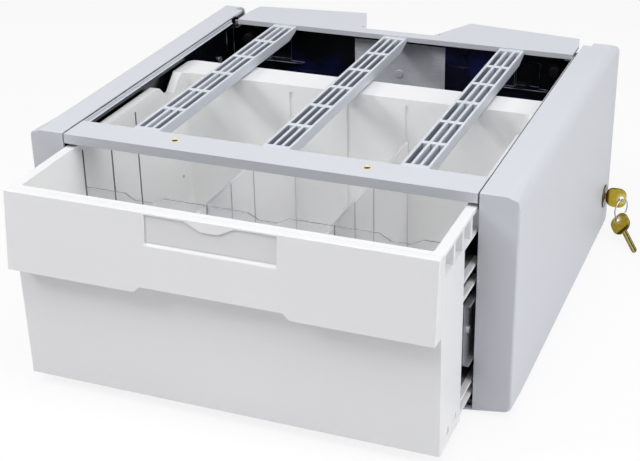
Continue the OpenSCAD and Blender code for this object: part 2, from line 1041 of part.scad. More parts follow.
// Deep drawer box with a flanged rim and a broad rear ledge
module drawer_tub() {
    color(drawer_white)
        in_drawer()
            difference() {
                union() {
                    box([-wall_x, wall_front_base, floor_top - tub_t],
                        [wall_x, tub_y1 + tub_t, rim_z]);
                    slab_x(-front_half, front_half)
                        polygon([
                            [tub_y0, front_base], [tub_y0, rim_z], [wall_front_y, rim_z],
                            [wall_front_y, shoulder_z], [wall_front_top, shoulder_z],
                            [wall_front_base, front_base]
                        ]);
                    rear_ledge();
                    both_sides()
                        tub_side();
                }
                tub_inside();
                both_sides() {
                    rim_notch();
                    for (y = inner_screw_y)
                        rod_x(tub_half - cut, wall_x + cut, y, slide_mid, rivet_shank);
                }
                tub_grooves();
            }
}

// Frame on the leaning face of the drawer front, origin at its top edge
module on_front_face() {
    translate([0, 0, rim_z])
        rotate([-lean_a, 0, 0])
            children();
}

// Recess for a label with a bevelled lower edge
module label_recess() {
    slab_x(-label_w / 2, label_w / 2)
        polygon([
            [-cut, -label_top], [label_d, -label_top], [label_d, -label_foot + label_bevel],
            [-cut, -label_foot - cut * label_bevel / label_d]
        ]);
}

// Tongue that hangs from the recess's top edge and keeps the label in
module label_tongue() {
    slab_y(0, tongue_t)
        polygon([
            [-tongue_top / 2, -label_top + 0.5], [tongue_top / 2, -label_top + 0.5],
            [tongue_top / 2, -label_top],
            [tongue_foot / 2, -label_top - tongue_l], [-tongue_foot / 2, -label_top - tongue_l],
            [-tongue_top / 2, -label_top]
        ]);
}

// Overhanging drawer front: hollow below as a finger pull, with a label recess
module drawer_front() {
    slope = lean / (rim_z - shoulder_z);
    color(drawer_white)
        in_drawer() {
            difference() {
                slab_x(-front_half, front_half)
                    polygon([[wall_front_y, rim_z], [0, rim_z], [-lean, shoulder_z],
                    [wall_front_y, shoulder_z]]);
                slab_x(-front_half + front_wall, front_half - front_wall)
                    polygon([
                        [wall_front_y + cut, pull_top],
                        [front_wall - slope * (rim_z - pull_top), pull_top],
                        [front_wall - lean - slope, shoulder_z - cut],
                        [wall_front_y + cut, shoulder_z - cut]
                    ]);
                slab_y(-lean - 2 * cut, 0)
                    polygon([
                        [-finger_w / 2 - 1, shoulder_z - 1],
                        [-finger_w / 2 + finger_slope, shoulder_z + finger_rise],
                        [finger_w / 2 - finger_slope, shoulder_z + finger_rise],
                        [finger_w / 2 + 1, shoulder_z - 1]
                    ]);
                on_front_face()
                    label_recess();
            }
            on_front_face()
                label_tongue();
        }
}

// Blank card behind the tongue
module label_card() {
    edge = 0.4;
    color([0.86, 0.86, 0.85])
        in_drawer()
            on_front_face()
                box([-label_w / 2 + edge, label_d - card_t, -label_foot + label_bevel + edge],
                    [label_w / 2 - edge, label_d, -label_top - edge]);
}

// Lengthwise divider standing in the grooves of the front and rear walls
module divider(x) {
    reach = groove_d - loose;
    difference() {
        box([x - divider_t / 2, tub_y0 - reach, floor_top],
            [x + divider_t / 2, tub_y1 + reach, divider_top]);
        for (y = cross_y)
            for (side = [-1, 1])
                translate([x + side * divider_t / 2, y, 0])
                    box([-divider_groove, -cross_groove_w / 2, floor_top - cut],
                        [divider_groove, cross_groove_w / 2, divider_top + cut]);
    }
}

module divider_left() {
    color(drawer_white)
        in_drawer()
            divider(-bay_x);
}

module divider_right() {
    color(drawer_white)
        in_drawer()
            divider(bay_x);
}

// Clear crosswise panel between two planes, with a scoop in its top edge
module cross_panel(x0, x1) {
    mid = (x0 + x1) / 2;
    slab_y(cross_y[0] - cross_t / 2, cross_y[0] + cross_t / 2)
        polygon([
            [x0, floor_top], [x1, floor_top], [x1, divider_top],
            [mid + scoop_top / 2, divider_top], [mid + scoop_foot / 2, divider_top - scoop_d],
            [mid - scoop_foot / 2, divider_top - scoop_d], [mid - scoop_top / 2, divider_top],
            [x0, divider_top]
        ]);
}

// Edge of a cross panel inside a divider's groove, and inside the drawer wall's groove
at_divider = divider_t / 2 - divider_groove + loose;
at_wall = tub_half + groove_d - loose;

module cross_panel_left() {
    color(clear_plastic)
        in_drawer()
            cross_panel(-at_wall, -bay_x - at_divider);
}

module cross_panel_centre() {
    color(clear_plastic)
        in_drawer()
            cross_panel(-bay_x + at_divider, bay_x - at_divider);
}

module cross_panel_right() {
    color(clear_plastic)
        in_drawer()
            cross_panel(bay_x + at_divider, at_wall);
}

// Steel strap behind the drawer whose bent end the lock's cam catches
module drawer_catch() {
    rear = tub_y1 + tub_t;
    color(steel_zinc)
        in_drawer() {
            box([catch_x - catch_foot, rear, catch_z[0]], [catch_x, rear + catch_t, catch_z[1]]);
            box([catch_x - catch_t, rear, catch_z[0]], [catch_x, catch_tab_y + catch_t, catch_z[1]]);
            box([catch_x - catch_t, catch_tab_y, catch_z[0]],
                [cam_x[1], catch_tab_y + catch_t, catch_z[1]]);
            for (inset = catch_rivet_in)
                translate([catch_x - inset, rear + catch_t - eps, (catch_z[0] + catch_z[1]) / 2])
                    rotate([-90, 0, 0])
                        cylinder(h = 1.2, r = catch_rivet_r);
        }
}

// Shell of the cam lock: flange outside, flatted barrel through the cover
module lock_body() {
    color(brass_yellow)
        placed()
            difference() {
                union() {
                    rod_x(half_w, half_w + flange_t, lock_y, lock_z, lock_flange_r);
                    intersection() {
                        rod_x(barrel_x0, half_w + eps, lock_y, lock_z, barrel_r);
                        translate([barrel_x0, lock_y - barrel_flat, lock_z - barrel_r])
                            cube([half_w - barrel_x0 + cut, 2 * barrel_flat, 2 * barrel_r]);
                    }
                }
                rod_x(barrel_x0 - cut, half_w + flange_t + cut, lock_y, lock_z, plug_r + running);
            }
}

// Hexagon nut that clamps the lock to the cover's wall
module lock_nut() {
    wall = half_w - cover_t;
    color(steel_zinc)
        placed()
            difference() {
                translate([wall - nut_t, lock_y, lock_z])
                    rotate([0, 90, 0])
                        cylinder(h = nut_t, r = nut_r, $fn = 6);
                rod_x(wall - nut_t - cut, wall + cut, lock_y, lock_z, barrel_r + running);
            }
}

// Turning plug with a keyway, and a stem for the cam
module lock_plug() {
    face = half_w + flange_t;
    tail = cam_x[1];
    color(brass_yellow)
        placed()
            difference() {
                union() {
                    rod_x(tail, face, lock_y, lock_z, plug_r);
                    rod_x(cam_x[0], tail + eps, lock_y, lock_z, stem_r);
                }
                translate([face - blade_l - cut, lock_y - keyway_w / 2, lock_z - keyway_h / 2])
                    cube([blade_l + 2 * cut, keyway_w, keyway_h]);
            }
}

// Flat cam, pointing forwards when unlocked
module lock_cam() {
    color(steel_zinc)
        placed()
            difference() {
                union() {
                    rod_x(cam_x[0], cam_x[1], lock_y, lock_z, cam_hub_r);
                    box([cam_x[0], lock_y - cam_l, lock_z - cam_w / 2],
                        [cam_x[1], lock_y, lock_z + cam_w / 2]);
                }
                rod_x(cam_x[0] - cut, cam_x[1] + cut, lock_y, lock_z, stem_r);
            }
}

// Screw that keeps the cam on its stem
module cam_screw() {
    color(steel_zinc)
        placed()
            rod_x(cam_x[0] - cam_head_t, cam_x[0], lock_y, lock_z, cam_head_r);
}

// Outline of a key's bow: rounded outer corners, tapered towards the blade
module bow_outline() {
    difference() {
        polygon([
            [0, -shoulder_w / 2], [bow_taper, -bow_w / 2], [bow_l, -bow_w / 2],
            [bow_l, bow_w / 2], [bow_taper, bow_w / 2], [0, shoulder_w / 2]
        ]);
        for (s = [0, 1])
            mirror([0, s])
                translate([bow_l, bow_w / 2])
                    corner_waste(bow_corner_r);
        translate([bow_l - hole_inset, 0])
            circle(r = key_hole_r);
    }
}

// Outline of a key's blade with its cut edge
module blade_outline() {
    notches = [[5, 1], [10, 1.6], [15, 0.8], [20, 1.3]];
    difference() {
        polygon([
            [1, -blade_w / 2], [1, blade_w / 2], [-blade_l + blade_tip, blade_w / 2],
            [-blade_l, 0], [-blade_l + blade_tip, -blade_w / 2]
        ]);
        for (n = notches)
            polygon([
                [-n[0] - n[1] - 1, -blade_w / 2 - eps], [-n[0] - 0.6, -blade_w / 2 + n[1]],
                [-n[0] + 0.6, -blade_w / 2 + n[1]], [-n[0] + n[1] + 1, -blade_w / 2 - eps]
            ]);
    }
}

// Flat key along +X: its bow starts at the origin, its grooved blade points to -X
module key_shape() {
    slab_y(-bow_t / 2, bow_t / 2)
        bow_outline();
    difference() {
        slab_y(-key_t / 2, key_t / 2)
            blade_outline();
        for (face = [-1, 1])
            translate([0, face * key_t / 2, 0])
                box([-blade_l - cut, -key_groove_d, groove_z[0]], [-1, key_groove_d, groove_z[1]]);
    }
}

module lock_key() {
    color(brass_yellow)
        placed()
            translate([key_face_x, lock_y, lock_z])
                key_shape();
}

// Wire ring through the holes of both keys
module key_ring() {
    color(steel_zinc)
        placed()
            translate([key_hole_x, lock_y, ring_z])
                rotate([0, 90, ring_turn])
                    rotate_extrude()
                        translate([ring_r, 0])
                            circle(r = wire_r);
}

// Roll that turns the spare key's flat side towards the wire it hangs on
spare_yaw = spare_heading + 180;
wire_along = [
    sin(ring_turn) * cos(spare_place), -cos(ring_turn) * cos(spare_place), sin(spare_place)
];
flat_side = [-sin(spare_yaw), cos(spare_yaw), 0];
flat_up = [
    -sin(spare_dip) * cos(spare_yaw), -sin(spare_dip) * sin(spare_yaw), cos(spare_dip)
];
spare_roll = atan2(wire_along * flat_up, wire_along * flat_side);

// Second key on the ring, its tip leaning out and forwards to the ground
module spare_key() {
    color(brass_yellow)
        placed()
            translate([key_hole_x, lock_y, ring_z])
                rotate([0, 0, ring_turn])
                    translate([0, -ring_r * sin(spare_place), -ring_r * cos(spare_place)])
                        rotate([0, 0, -ring_turn])
                            rotate([spare_roll, -spare_dip, spare_yaw])
                                translate([-bow_l + hole_inset - hang, 0, 0])
                                    key_shape();
}

left_cover();
right_cover();
left_side_plate();
right_side_plate();
base_pan();
rear_panel();
rear_centre_plate();
front_crossbar();
rear_crossbar();
slat_left();
slat_centre();
slat_right();
edge_strip_left();
edge_strip_right();
threaded_inserts();
bar_seats();
frame_screws();
cover_screws();
rear_bumpers();
slide_outer_left();
slide_outer_right();
slide_rivets();
ball_cage_left();
ball_cage_right();
slide_balls_left();
slide_balls_right();
slide_inner_left();
slide_inner_right();
drawer_side_left();
drawer_side_right();
drawer_screws();
drawer_tub();
drawer_front();
label_card();
divider_left();
divider_right();
cross_panel_left();
cross_panel_centre();
cross_panel_right();
drawer_catch();
lock_body();
lock_nut();
lock_plug();
lock_cam();
cam_screw();
lock_key();
key_ring();
spare_key();
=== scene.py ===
# %% [markdown]
# # A lockable storage drawer, dressed for the camera
# The solids come from a CAD model and are loaded as a fixed frame in metres.
# This lesson models the slats, the threaded inserts and other small forms by hand, gives
# the moulded pieces soft edges, writes their finishes as node materials, and lights the
# drawer like a product picture on white paper.

# %% Load the frame
import bpy
import json
from math import radians
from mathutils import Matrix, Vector


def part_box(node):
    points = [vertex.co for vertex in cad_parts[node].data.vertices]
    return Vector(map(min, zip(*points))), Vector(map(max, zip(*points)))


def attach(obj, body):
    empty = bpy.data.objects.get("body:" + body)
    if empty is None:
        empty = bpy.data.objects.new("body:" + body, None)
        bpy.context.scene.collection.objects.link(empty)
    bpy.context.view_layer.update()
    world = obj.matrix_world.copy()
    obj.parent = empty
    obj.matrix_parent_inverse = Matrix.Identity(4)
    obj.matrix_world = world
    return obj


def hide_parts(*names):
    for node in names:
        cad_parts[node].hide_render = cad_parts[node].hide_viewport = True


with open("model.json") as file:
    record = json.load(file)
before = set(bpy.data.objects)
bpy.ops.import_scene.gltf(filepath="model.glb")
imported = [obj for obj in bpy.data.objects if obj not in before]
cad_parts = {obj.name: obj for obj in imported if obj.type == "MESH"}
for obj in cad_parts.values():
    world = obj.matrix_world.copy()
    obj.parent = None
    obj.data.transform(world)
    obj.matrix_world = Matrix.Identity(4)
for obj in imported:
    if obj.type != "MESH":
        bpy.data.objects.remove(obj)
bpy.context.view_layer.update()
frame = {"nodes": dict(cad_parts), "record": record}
body_of = {}
for body, names in frame["record"]["behaviour"]["bodies"].items():
    for name in names:
        body_of[name] = body
slot_of = {part["node"]: part["material_slot"] for part in frame["record"]["subparts"]}

# %% [markdown]
# ## Camera
# The picture was taken from the front right and a little above, through a long lens.
# A long lens keeps the drawer's edges nearly parallel, so the lens length matters as much
# as the place. The small roll tilts the horizon by one degree, as in the picture.

# %% Place the camera
LENS = 78.0365
EYE_PLACE = (0.438174, -1.146455, 0.645952)
EYE_TURN = (1.113797, 0.018345, 0.380050)
eye = bpy.data.cameras.new("eye")
eye.sensor_width = 36.0
eye.sensor_fit = "HORIZONTAL"
eye.lens = LENS
eye_object = bpy.data.objects.new("eye", eye)
eye_object.location = EYE_PLACE
eye_object.rotation_euler = EYE_TURN
bpy.context.scene.collection.objects.link(eye_object)
bpy.context.scene.camera = eye_object
print("lens:", round(eye.lens, 2), "mm")

# %% [markdown]
# ## Selecting by place
# By hand, a modeller clicks the faces to work on. A script picks them by where they lie
# instead. These helpers set the selection while the mesh is at rest and then enter edit
# mode, where the operators act on what is selected. The last one says which solid a new
# piece stands for.

# %% Helpers: select parts of a mesh
VERTS, EDGES, FACES = (True, False, False), (False, True, False), (False, False, True)
TOUCH, NEAR = 0.00001, 0.0001


def only(piece):
    bpy.ops.object.select_all(action="DESELECT")
    piece.select_set(True)
    bpy.context.view_layer.objects.active = piece


def pick(piece, mode, test):
    bpy.ops.object.mode_set(mode="OBJECT")
    mesh = piece.data
    for part in (*mesh.vertices, *mesh.edges, *mesh.polygons):
        part.select = False
    chosen = 0
    for part in (mesh.polygons if mode == FACES else mesh.vertices):
        part.select = test(part)
        chosen += part.select
    bpy.context.tool_settings.mesh_select_mode = mode
    bpy.ops.object.mode_set(mode="EDIT")
    return chosen


def stands_for(piece, node):
    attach(piece, body_of[node])
    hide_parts(node)


print("points closer than", TOUCH, "m count as one")

# %% [markdown]
# ## Soft edges
# No moulded or pressed edge is perfectly sharp: a thin rounded line along each edge catches
# the light and makes a part look real. A Bevel modifier rounds the edges that turn sharply.
# It puts its new faces in a second material slot, and that mark is kept as an attribute, so
# that a finish can colour the edges: wear on most pieces, painted highlights on the rear
# panel. Weighted normals then keep the large flat faces flat.

# %% Helper: round the edges of a piece
FLAT_WEIGHT = 80


def round_edges(piece, width, segments=2, angle=28.0):
    only(piece)
    piece.data.materials.clear()
    piece.data.materials.append(None)
    piece.data.materials.append(None)
    rounding = piece.modifiers.new("rounding", "BEVEL")
    rounding.width = width
    rounding.segments = segments
    rounding.limit_method = "ANGLE"
    rounding.angle_limit = radians(angle)
    rounding.material = 1
    rounding.miter_outer = "MITER_ARC"
    bpy.ops.object.modifier_apply(modifier="rounding")
    rubbed = piece.data.attributes.new("bevel_edge", "FLOAT", "FACE")
    for face in piece.data.polygons:
        rubbed.data[face.index].value = float(face.material_index == 1)
        face.material_index = 0
    piece.data.materials.clear()
    bpy.ops.object.shade_smooth()
    flats = piece.modifiers.new("flats", "WEIGHTED_NORMAL")
    flats.mode = "FACE_AREA"
    flats.weight = FLAT_WEIGHT
    bpy.ops.object.modifier_apply(modifier="flats")


print("weight of flat faces:", FLAT_WEIGHT)

# %% [markdown]
# A CAD mesh is a loose set of triangles. A copy of it is merged, and its flat areas are
# dissolved into single faces, before its edges can be rounded.

# %% Helper: a clean copy of a solid
FLAT_ANGLE = 0.6


def clean_copy(node):
    only(frame["nodes"][node])
    bpy.ops.object.duplicate()
    piece = bpy.context.view_layer.objects.active
    piece.name = node + "_soft"
    piece.parent = None
    piece.matrix_world.identity()
    bpy.ops.object.mode_set(mode="EDIT")
    bpy.ops.mesh.select_all(action="SELECT")
    bpy.ops.mesh.remove_doubles(threshold=TOUCH)
    bpy.ops.mesh.dissolve_limited(angle_limit=radians(FLAT_ANGLE))
    bpy.ops.object.mode_set(mode="OBJECT")
    return piece


print("faces within", FLAT_ANGLE, "degrees become one")

# %% [markdown]
# ## Side covers
# In the picture the front edge of a cover turns more tightly than on the solid, and its lower
# front corner is drawn up a little. Scaling the edge's arc towards the corner line tightens
# it. Bisects add points above and behind the corner first. The corner's points are then
# squeezed up towards the upper cut, so that the side doesn't fold over itself and the rest
# of the foot stays on the ground.

# %% Tighten the front edge and lift the corner
FRONT_ARC, TIGHTER = 0.005, 0.4
CORNER_LIFT, FOOT, CORNER_RUN = 0.0055, 0.012, 0.036
CORNER_WIDE, CORNER_DEEP, CORNER_HIGH = 0.0085, 0.006, 0.009


def shaped_cover(node):
    cover = clean_copy(node)
    low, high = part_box(node)
    side = 1.0 if high[0] > -low[0] else -1.0
    outer_x = max(high[0], -low[0])
    cuts = (((0, 0, FOOT), (0, 0, 1)), ((0, low[1] + CORNER_RUN, 0), (0, 1, 0)))
    bpy.ops.object.mode_set(mode="EDIT")
    for point, direction in cuts:
        bpy.ops.mesh.select_all(action="SELECT")
        bpy.ops.mesh.bisect(plane_co=point, plane_no=direction)
    arc = pick(cover, VERTS, lambda v: v.co.y < low[1] + FRONT_ARC + TOUCH
               and v.co.x * side > outer_x - FRONT_ARC - TOUCH and v.co.z > FOOT - TOUCH)
    bpy.ops.transform.resize(value=(TIGHTER, TIGHTER, 1.0),
                             center_override=(side * outer_x, low[1], 0.0))
    corner = pick(cover, VERTS, lambda v: v.co.y < low[1] + CORNER_DEEP
                  and v.co.x * side > outer_x - CORNER_WIDE and v.co.z < CORNER_HIGH)
    bpy.ops.transform.resize(value=(1.0, 1.0, 1.0 - CORNER_LIFT / FOOT),
                             center_override=(0.0, 0.0, FOOT))
    bpy.ops.object.mode_set(mode="OBJECT")
    print(node, "arc points:", arc, "corner points:", corner)
    return cover


pieces = {node: shaped_cover(node) for node in ("left_cover", "right_cover")}

# %% [markdown]
# ## Rear bar
# The rear bar is one flat moulding with two tabs and a thin lip along its front. Its lip is
# raised, its left end stops a little short of the cover, and the inner corners of the tabs
# move by a few millimetres to where the picture shows them.

# %% Draw in the rear bar's lip and corners
LIP_DROP, LIP_DEEP, LIP_HALF, LIP_RISE = 0.0045, 0.0032, 0.15, 0.0022
END_REACH, END_GAP = 0.0045, 0.006
TAB_X, TAB_Y, TAB_SHIFT = (0.056, 0.059), 0.19, 0.0035
rear_bar = clean_copy("rear_crossbar")
low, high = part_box("rear_crossbar")
moves = {
    "lip": (lambda p: p.z < high[2] - LIP_DROP and p.y < low[1] + LIP_DEEP
            and abs(p.x) < LIP_HALF, (0, 0, LIP_RISE)),
    "left end": (lambda p: p.x < low[0] + END_REACH, (END_GAP, 0, 0)),
    "tab corners": (lambda p: TAB_X[0] < abs(p.x) < TAB_X[1] and p.y > TAB_Y,
                    (TAB_SHIFT, 0, 0)),
}
for label, (test, step) in moves.items():
    moved = pick(rear_bar, VERTS, lambda v: test(v.co))
    bpy.ops.transform.translate(value=step)
    print(label, "points:", moved)
bpy.ops.object.mode_set(mode="OBJECT")
pieces["rear_crossbar"] = rear_bar

# %% [markdown]
# ## Covers, bars and steel
# The two covers, the crossbars and the drawer are injection moulded, so their edges are
# rounded by half a millimetre or more. Folded sheet and the lock's metal have finer edges.

# %% Round the moulded and folded pieces
EDGE_WIDTHS = {
    "left_cover": 0.0008, "right_cover": 0.0008,
    "front_crossbar": 0.0007, "rear_crossbar": 0.0006,
    "edge_strip_left": 0.0004, "edge_strip_right": 0.0004,
    "drawer_tub": 0.0006, "drawer_front": 0.0009,
    "divider_left": 0.0004, "divider_right": 0.0004,
    "cross_panel_left": 0.0002, "cross_panel_centre": 0.0002, "cross_panel_right": 0.0002,
    "rear_centre_plate": 0.0003, "rear_panel": 0.0005,
    "left_side_plate": 0.0003, "right_side_plate": 0.0003,
    "base_pan": 0.0003, "bar_seats": 0.0002,
    "drawer_side_left": 0.0002, "drawer_side_right": 0.0002,
    "slide_outer_left": 0.0003, "slide_outer_right": 0.0003,
    "slide_inner_left": 0.0003, "slide_inner_right": 0.0003,
    "lock_body": 0.0004, "lock_nut": 0.0003,
    "rear_bumpers": 0.0006,
}
for node, width in EDGE_WIDTHS.items():
    if node not in pieces:
        pieces[node] = clean_copy(node)
    round_edges(pieces[node], width)
    stands_for(pieces[node], node)
    print(node, "faces:", len(pieces[node].data.polygons))

# %% [markdown]
# ## Slats
# Each slat is a ladder: three columns of long slots between rounded ribs, closed below by a
# thin floor. It starts as one plane. Bisect draws the edges of the slots across it, the plane
# is extruded down to a slab, and the slot faces are then pushed down almost to its underside.
# At the rear the underside climbs to meet the rear bar. The ribs are nearly round on top, so
# they get a wide bevel. An attribute marks how deep a face lies in a slot, and the finish
# paints shade into the slots by that depth.

# %% Helper: slot lines along one direction
RIB, SLAT_END, BRIDGE, FLOOR = 0.0027, 0.006, 0.0048, 0.0016
COLUMNS, ROWS = 3, 6


def slot_spans(start, length, margin, gap, count):
    slot = (length - 2 * margin - (count - 1) * gap) / count
    return [(start + margin + i * (slot + gap), start + margin + i * (slot + gap) + slot)
            for i in range(count)]


print("slots in a slat:", COLUMNS * ROWS)

# %% Model the three slats
CLIMB_RUN, END_THICK = 0.018, 0.005
RIB_ROUND, SHARP_TURN = 0.0009, 40.0
SHADE_START, SHADE_SPAN = 0.001, 0.006


def ladder_slat(node):
    low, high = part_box(node)
    width, run, depth = (high[axis] - low[axis] for axis in range(3))
    across = slot_spans(low[0], width, RIB, RIB, COLUMNS)
    along = slot_spans(low[1], run, SLAT_END, BRIDGE, ROWS)
    climb_y, climb = high[1] - CLIMB_RUN, depth - END_THICK
    middle = ((low[0] + high[0]) / 2, (low[1] + high[1]) / 2, high[2])
    bpy.ops.object.select_all(action="DESELECT")
    bpy.ops.mesh.primitive_plane_add(size=1.0, location=(0, 0, 0))
    slat = bpy.context.view_layer.objects.active
    slat.name = node + "_ladder"
    bpy.ops.object.mode_set(mode="EDIT")
    bpy.ops.transform.resize(value=(width, run, 1.0))
    bpy.ops.transform.translate(value=middle)
    cuts = [(x, 0) for span in across for x in span] + [(y, 1) for span in along for y in span]
    for value, axis in cuts + [(climb_y, 1)]:
        direction = [float(axis == 0), float(axis == 1), 0.0]
        bpy.ops.mesh.select_all(action="SELECT")
        bpy.ops.mesh.bisect(plane_co=[value * part for part in direction], plane_no=direction)

    def in_slot(face):
        x, y = face.center.xy
        return any(a < x < b for a, b in across) and any(a < y < b for a, b in along)

    bpy.ops.mesh.select_all(action="SELECT")
    bpy.ops.mesh.extrude_region_move(TRANSFORM_OT_translate={"value": (0, 0, -depth)})
    holes = pick(slat, FACES, lambda face: face.center.z > high[2] - NEAR and in_slot(face))
    bpy.ops.mesh.extrude_region_move(TRANSFORM_OT_translate={"value": (0, 0, FLOOR - depth)})
    for y in (along[-1][1], high[1]):
        pick(slat, VERTS, lambda v: v.co.z < high[2] - depth / 2 and abs(v.co.y - y) < NEAR)
        rise = climb * (y - climb_y) / (high[1] - climb_y)
        bpy.ops.transform.translate(value=(0, 0, rise))
    bpy.ops.mesh.select_all(action="SELECT")
    bpy.ops.mesh.normals_make_consistent(inside=False)
    bpy.ops.object.mode_set(mode="OBJECT")
    round_edges(slat, RIB_ROUND, segments=3, angle=SHARP_TURN)
    # painted shade: faces deeper in a slot are marked for a darker colour
    recess_shade = slat.data.attributes.new("recess_shade", "FLOAT", "FACE")
    for face in slat.data.polygons:
        if in_slot(face):
            depth_in = (high[2] - face.center.z - SHADE_START) / SHADE_SPAN
            recess_shade.data[face.index].value = min(1.0, max(0.0, depth_in))
    stands_for(slat, node)
    print(node, "slot faces pushed down:", holes, "faces:", len(slat.data.polygons))
    return slat


for node in ("slat_left", "slat_centre", "slat_right"):
    pieces[node] = ladder_slat(node)

# %% [markdown]
# ## Threaded inserts
# The two brass inserts in the front bar take screws from above. A disc is inset to a rim,
# sunk to a small countersink, and then extruded down in steps that grow and shrink, which
# leaves a row of ridges like the thread's crests. The outer wall is extruded last, and a
# bridge closes the ring at its foot.

# %% Model one insert and copy it
TURNS, STEP, CREST = 8, 0.0009, 1.16
INSERT_SIDES, RIM, COUNTERSINK, SINK = 40, 0.0014, 0.0007, 0.0004
low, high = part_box("threaded_inserts")
insert_r = (high[1] - low[1]) / 2
insert_y = (high[1] + low[1]) / 2
insert_x = high[0] - insert_r
bpy.ops.object.select_all(action="DESELECT")
bpy.ops.mesh.primitive_circle_add(vertices=INSERT_SIDES, radius=insert_r, fill_type="NGON",
                                  location=(0, 0, 0))
insert = bpy.context.view_layer.objects.active
insert.name = "threaded_inserts_brass"
bpy.ops.object.mode_set(mode="EDIT")
bpy.ops.mesh.inset(thickness=RIM)
bpy.ops.mesh.inset(thickness=COUNTERSINK)
bpy.ops.transform.translate(value=(0, 0, -SINK))
for grow in (CREST, 1.0 / CREST) * TURNS:
    bpy.ops.mesh.extrude_region_move(TRANSFORM_OT_translate={"value": (0, 0, -STEP / 2)})
    bpy.ops.transform.resize(value=(grow, grow, 1.0))
bpy.ops.mesh.delete(type="ONLY_FACE")
print("thread ridges:", TURNS, "vertices:", len(insert.data.vertices))

# %% Close the ring and set both inserts in the bar
BORE_INSET, BORE_TOP, SMOOTH_TURN = 0.0012, 0.0003, 32.0
insert_foot = low[2] - high[2]
bore_foot = -SINK - TURNS * STEP
pick(insert, VERTS, lambda v: (v.co.x ** 2 + v.co.y ** 2) ** 0.5 > insert_r - TOUCH)
bpy.context.tool_settings.mesh_select_mode = EDGES
bpy.ops.mesh.extrude_edges_move(TRANSFORM_OT_translate={"value": (0, 0, insert_foot)})
pick(insert, VERTS, lambda v: min(abs(v.co.z - insert_foot), abs(v.co.z - bore_foot)) < TOUCH)
bpy.context.tool_settings.mesh_select_mode = EDGES
bpy.ops.mesh.bridge_edge_loops()
bpy.ops.mesh.select_all(action="SELECT")
bpy.ops.mesh.normals_make_consistent(inside=False)
bpy.ops.transform.translate(value=(insert_x, insert_y, high[2]))
bpy.ops.mesh.duplicate_move(TRANSFORM_OT_translate={"value": (-2 * insert_x, 0, 0)})
bpy.ops.object.mode_set(mode="OBJECT")
bpy.ops.object.shade_smooth_by_angle(angle=radians(SMOOTH_TURN))
# painted shade: the faces of the threaded bore are marked to be painted dark
bore_shade = insert.data.attributes.new("recess_shade", "FLOAT", "FACE")
for face in insert.data.polygons:
    offset = Vector((abs(face.center.x) - insert_x, face.center.y - insert_y))
    bore_shade.data[face.index].value = float(offset.length < insert_r - BORE_INSET
                                        and face.center.z < high[2] - BORE_TOP)
stands_for(insert, "threaded_inserts")
pieces["threaded_inserts"] = insert
print("inserts at", round(insert_x, 4), "faces:", len(insert.data.polygons))

# %% [markdown]
# ## Keys
# Each key is stamped from brass sheet. A square is given round corners, wide ones at the heel
# where the blade begins, and is extruded to the thickness. A cylinder cuts the ring's hole.
# The blade is a strip with a pointed end, and bisects draw a groove along each flat side
# that is then pushed in. The key is modelled lying along X and copied to its two places.

# %% Stamp the bow
BOW, BOW_THICK, HOLE_INSET, HOLE = 0.021, 0.0026, 0.0043, 0.0026
END_ROUND, HEEL_ROUND, ROUND_STEPS, HEEL_LINE = 0.0075, 0.0085, 8, 0.0052
bpy.ops.object.select_all(action="DESELECT")
bpy.ops.mesh.primitive_plane_add(size=BOW, location=(0, 0, 0))
key = bpy.context.view_layer.objects.active
key.name = "key"
bpy.ops.object.mode_set(mode="EDIT")
bpy.ops.mesh.select_all(action="SELECT")
bpy.ops.transform.rotate(value=radians(90), orient_axis="X", center_override=(0, 0, 0))
bpy.ops.transform.translate(value=(BOW / 2, BOW_THICK / 2, 0))
for end_x, round_by in ((BOW, END_ROUND), (0.0, HEEL_ROUND)):
    pick(key, VERTS, lambda v: abs(v.co.x - end_x) < NEAR)
    bpy.ops.mesh.bevel(offset_type="OFFSET", offset=round_by, segments=ROUND_STEPS,
                       affect="VERTICES")
bpy.ops.mesh.select_all(action="SELECT")
bpy.ops.mesh.extrude_region_move(TRANSFORM_OT_translate={"value": (0, -BOW_THICK, 0)})
bpy.ops.mesh.select_all(action="SELECT")
bpy.ops.mesh.bisect(plane_co=(HEEL_LINE, 0, 0), plane_no=(1, 0, 0))
bpy.ops.mesh.select_all(action="SELECT")
bpy.ops.mesh.normals_make_consistent(inside=False)
bpy.ops.object.mode_set(mode="OBJECT")
print("bow faces:", len(key.data.polygons))

# %% Cut the ring's hole and round the edges
PUNCH_SIDES, PUNCH_LONG, BOW_EDGE = 32, 0.01, 0.0005
bpy.ops.object.select_all(action="DESELECT")
bpy.ops.mesh.primitive_cylinder_add(vertices=PUNCH_SIDES, radius=HOLE, depth=PUNCH_LONG,
                                    location=(BOW - HOLE_INSET, 0, 0),
                                    rotation=(radians(90), 0, 0))
punch = bpy.context.view_layer.objects.active
only(key)
cut = key.modifiers.new("hole", "BOOLEAN")
cut.operation = "DIFFERENCE"
cut.object = punch
bpy.ops.object.modifier_apply(modifier="hole")
only(punch)
bpy.ops.object.delete()
round_edges(key, BOW_EDGE, angle=SHARP_TURN)
print("bow with its hole:", len(key.data.polygons))

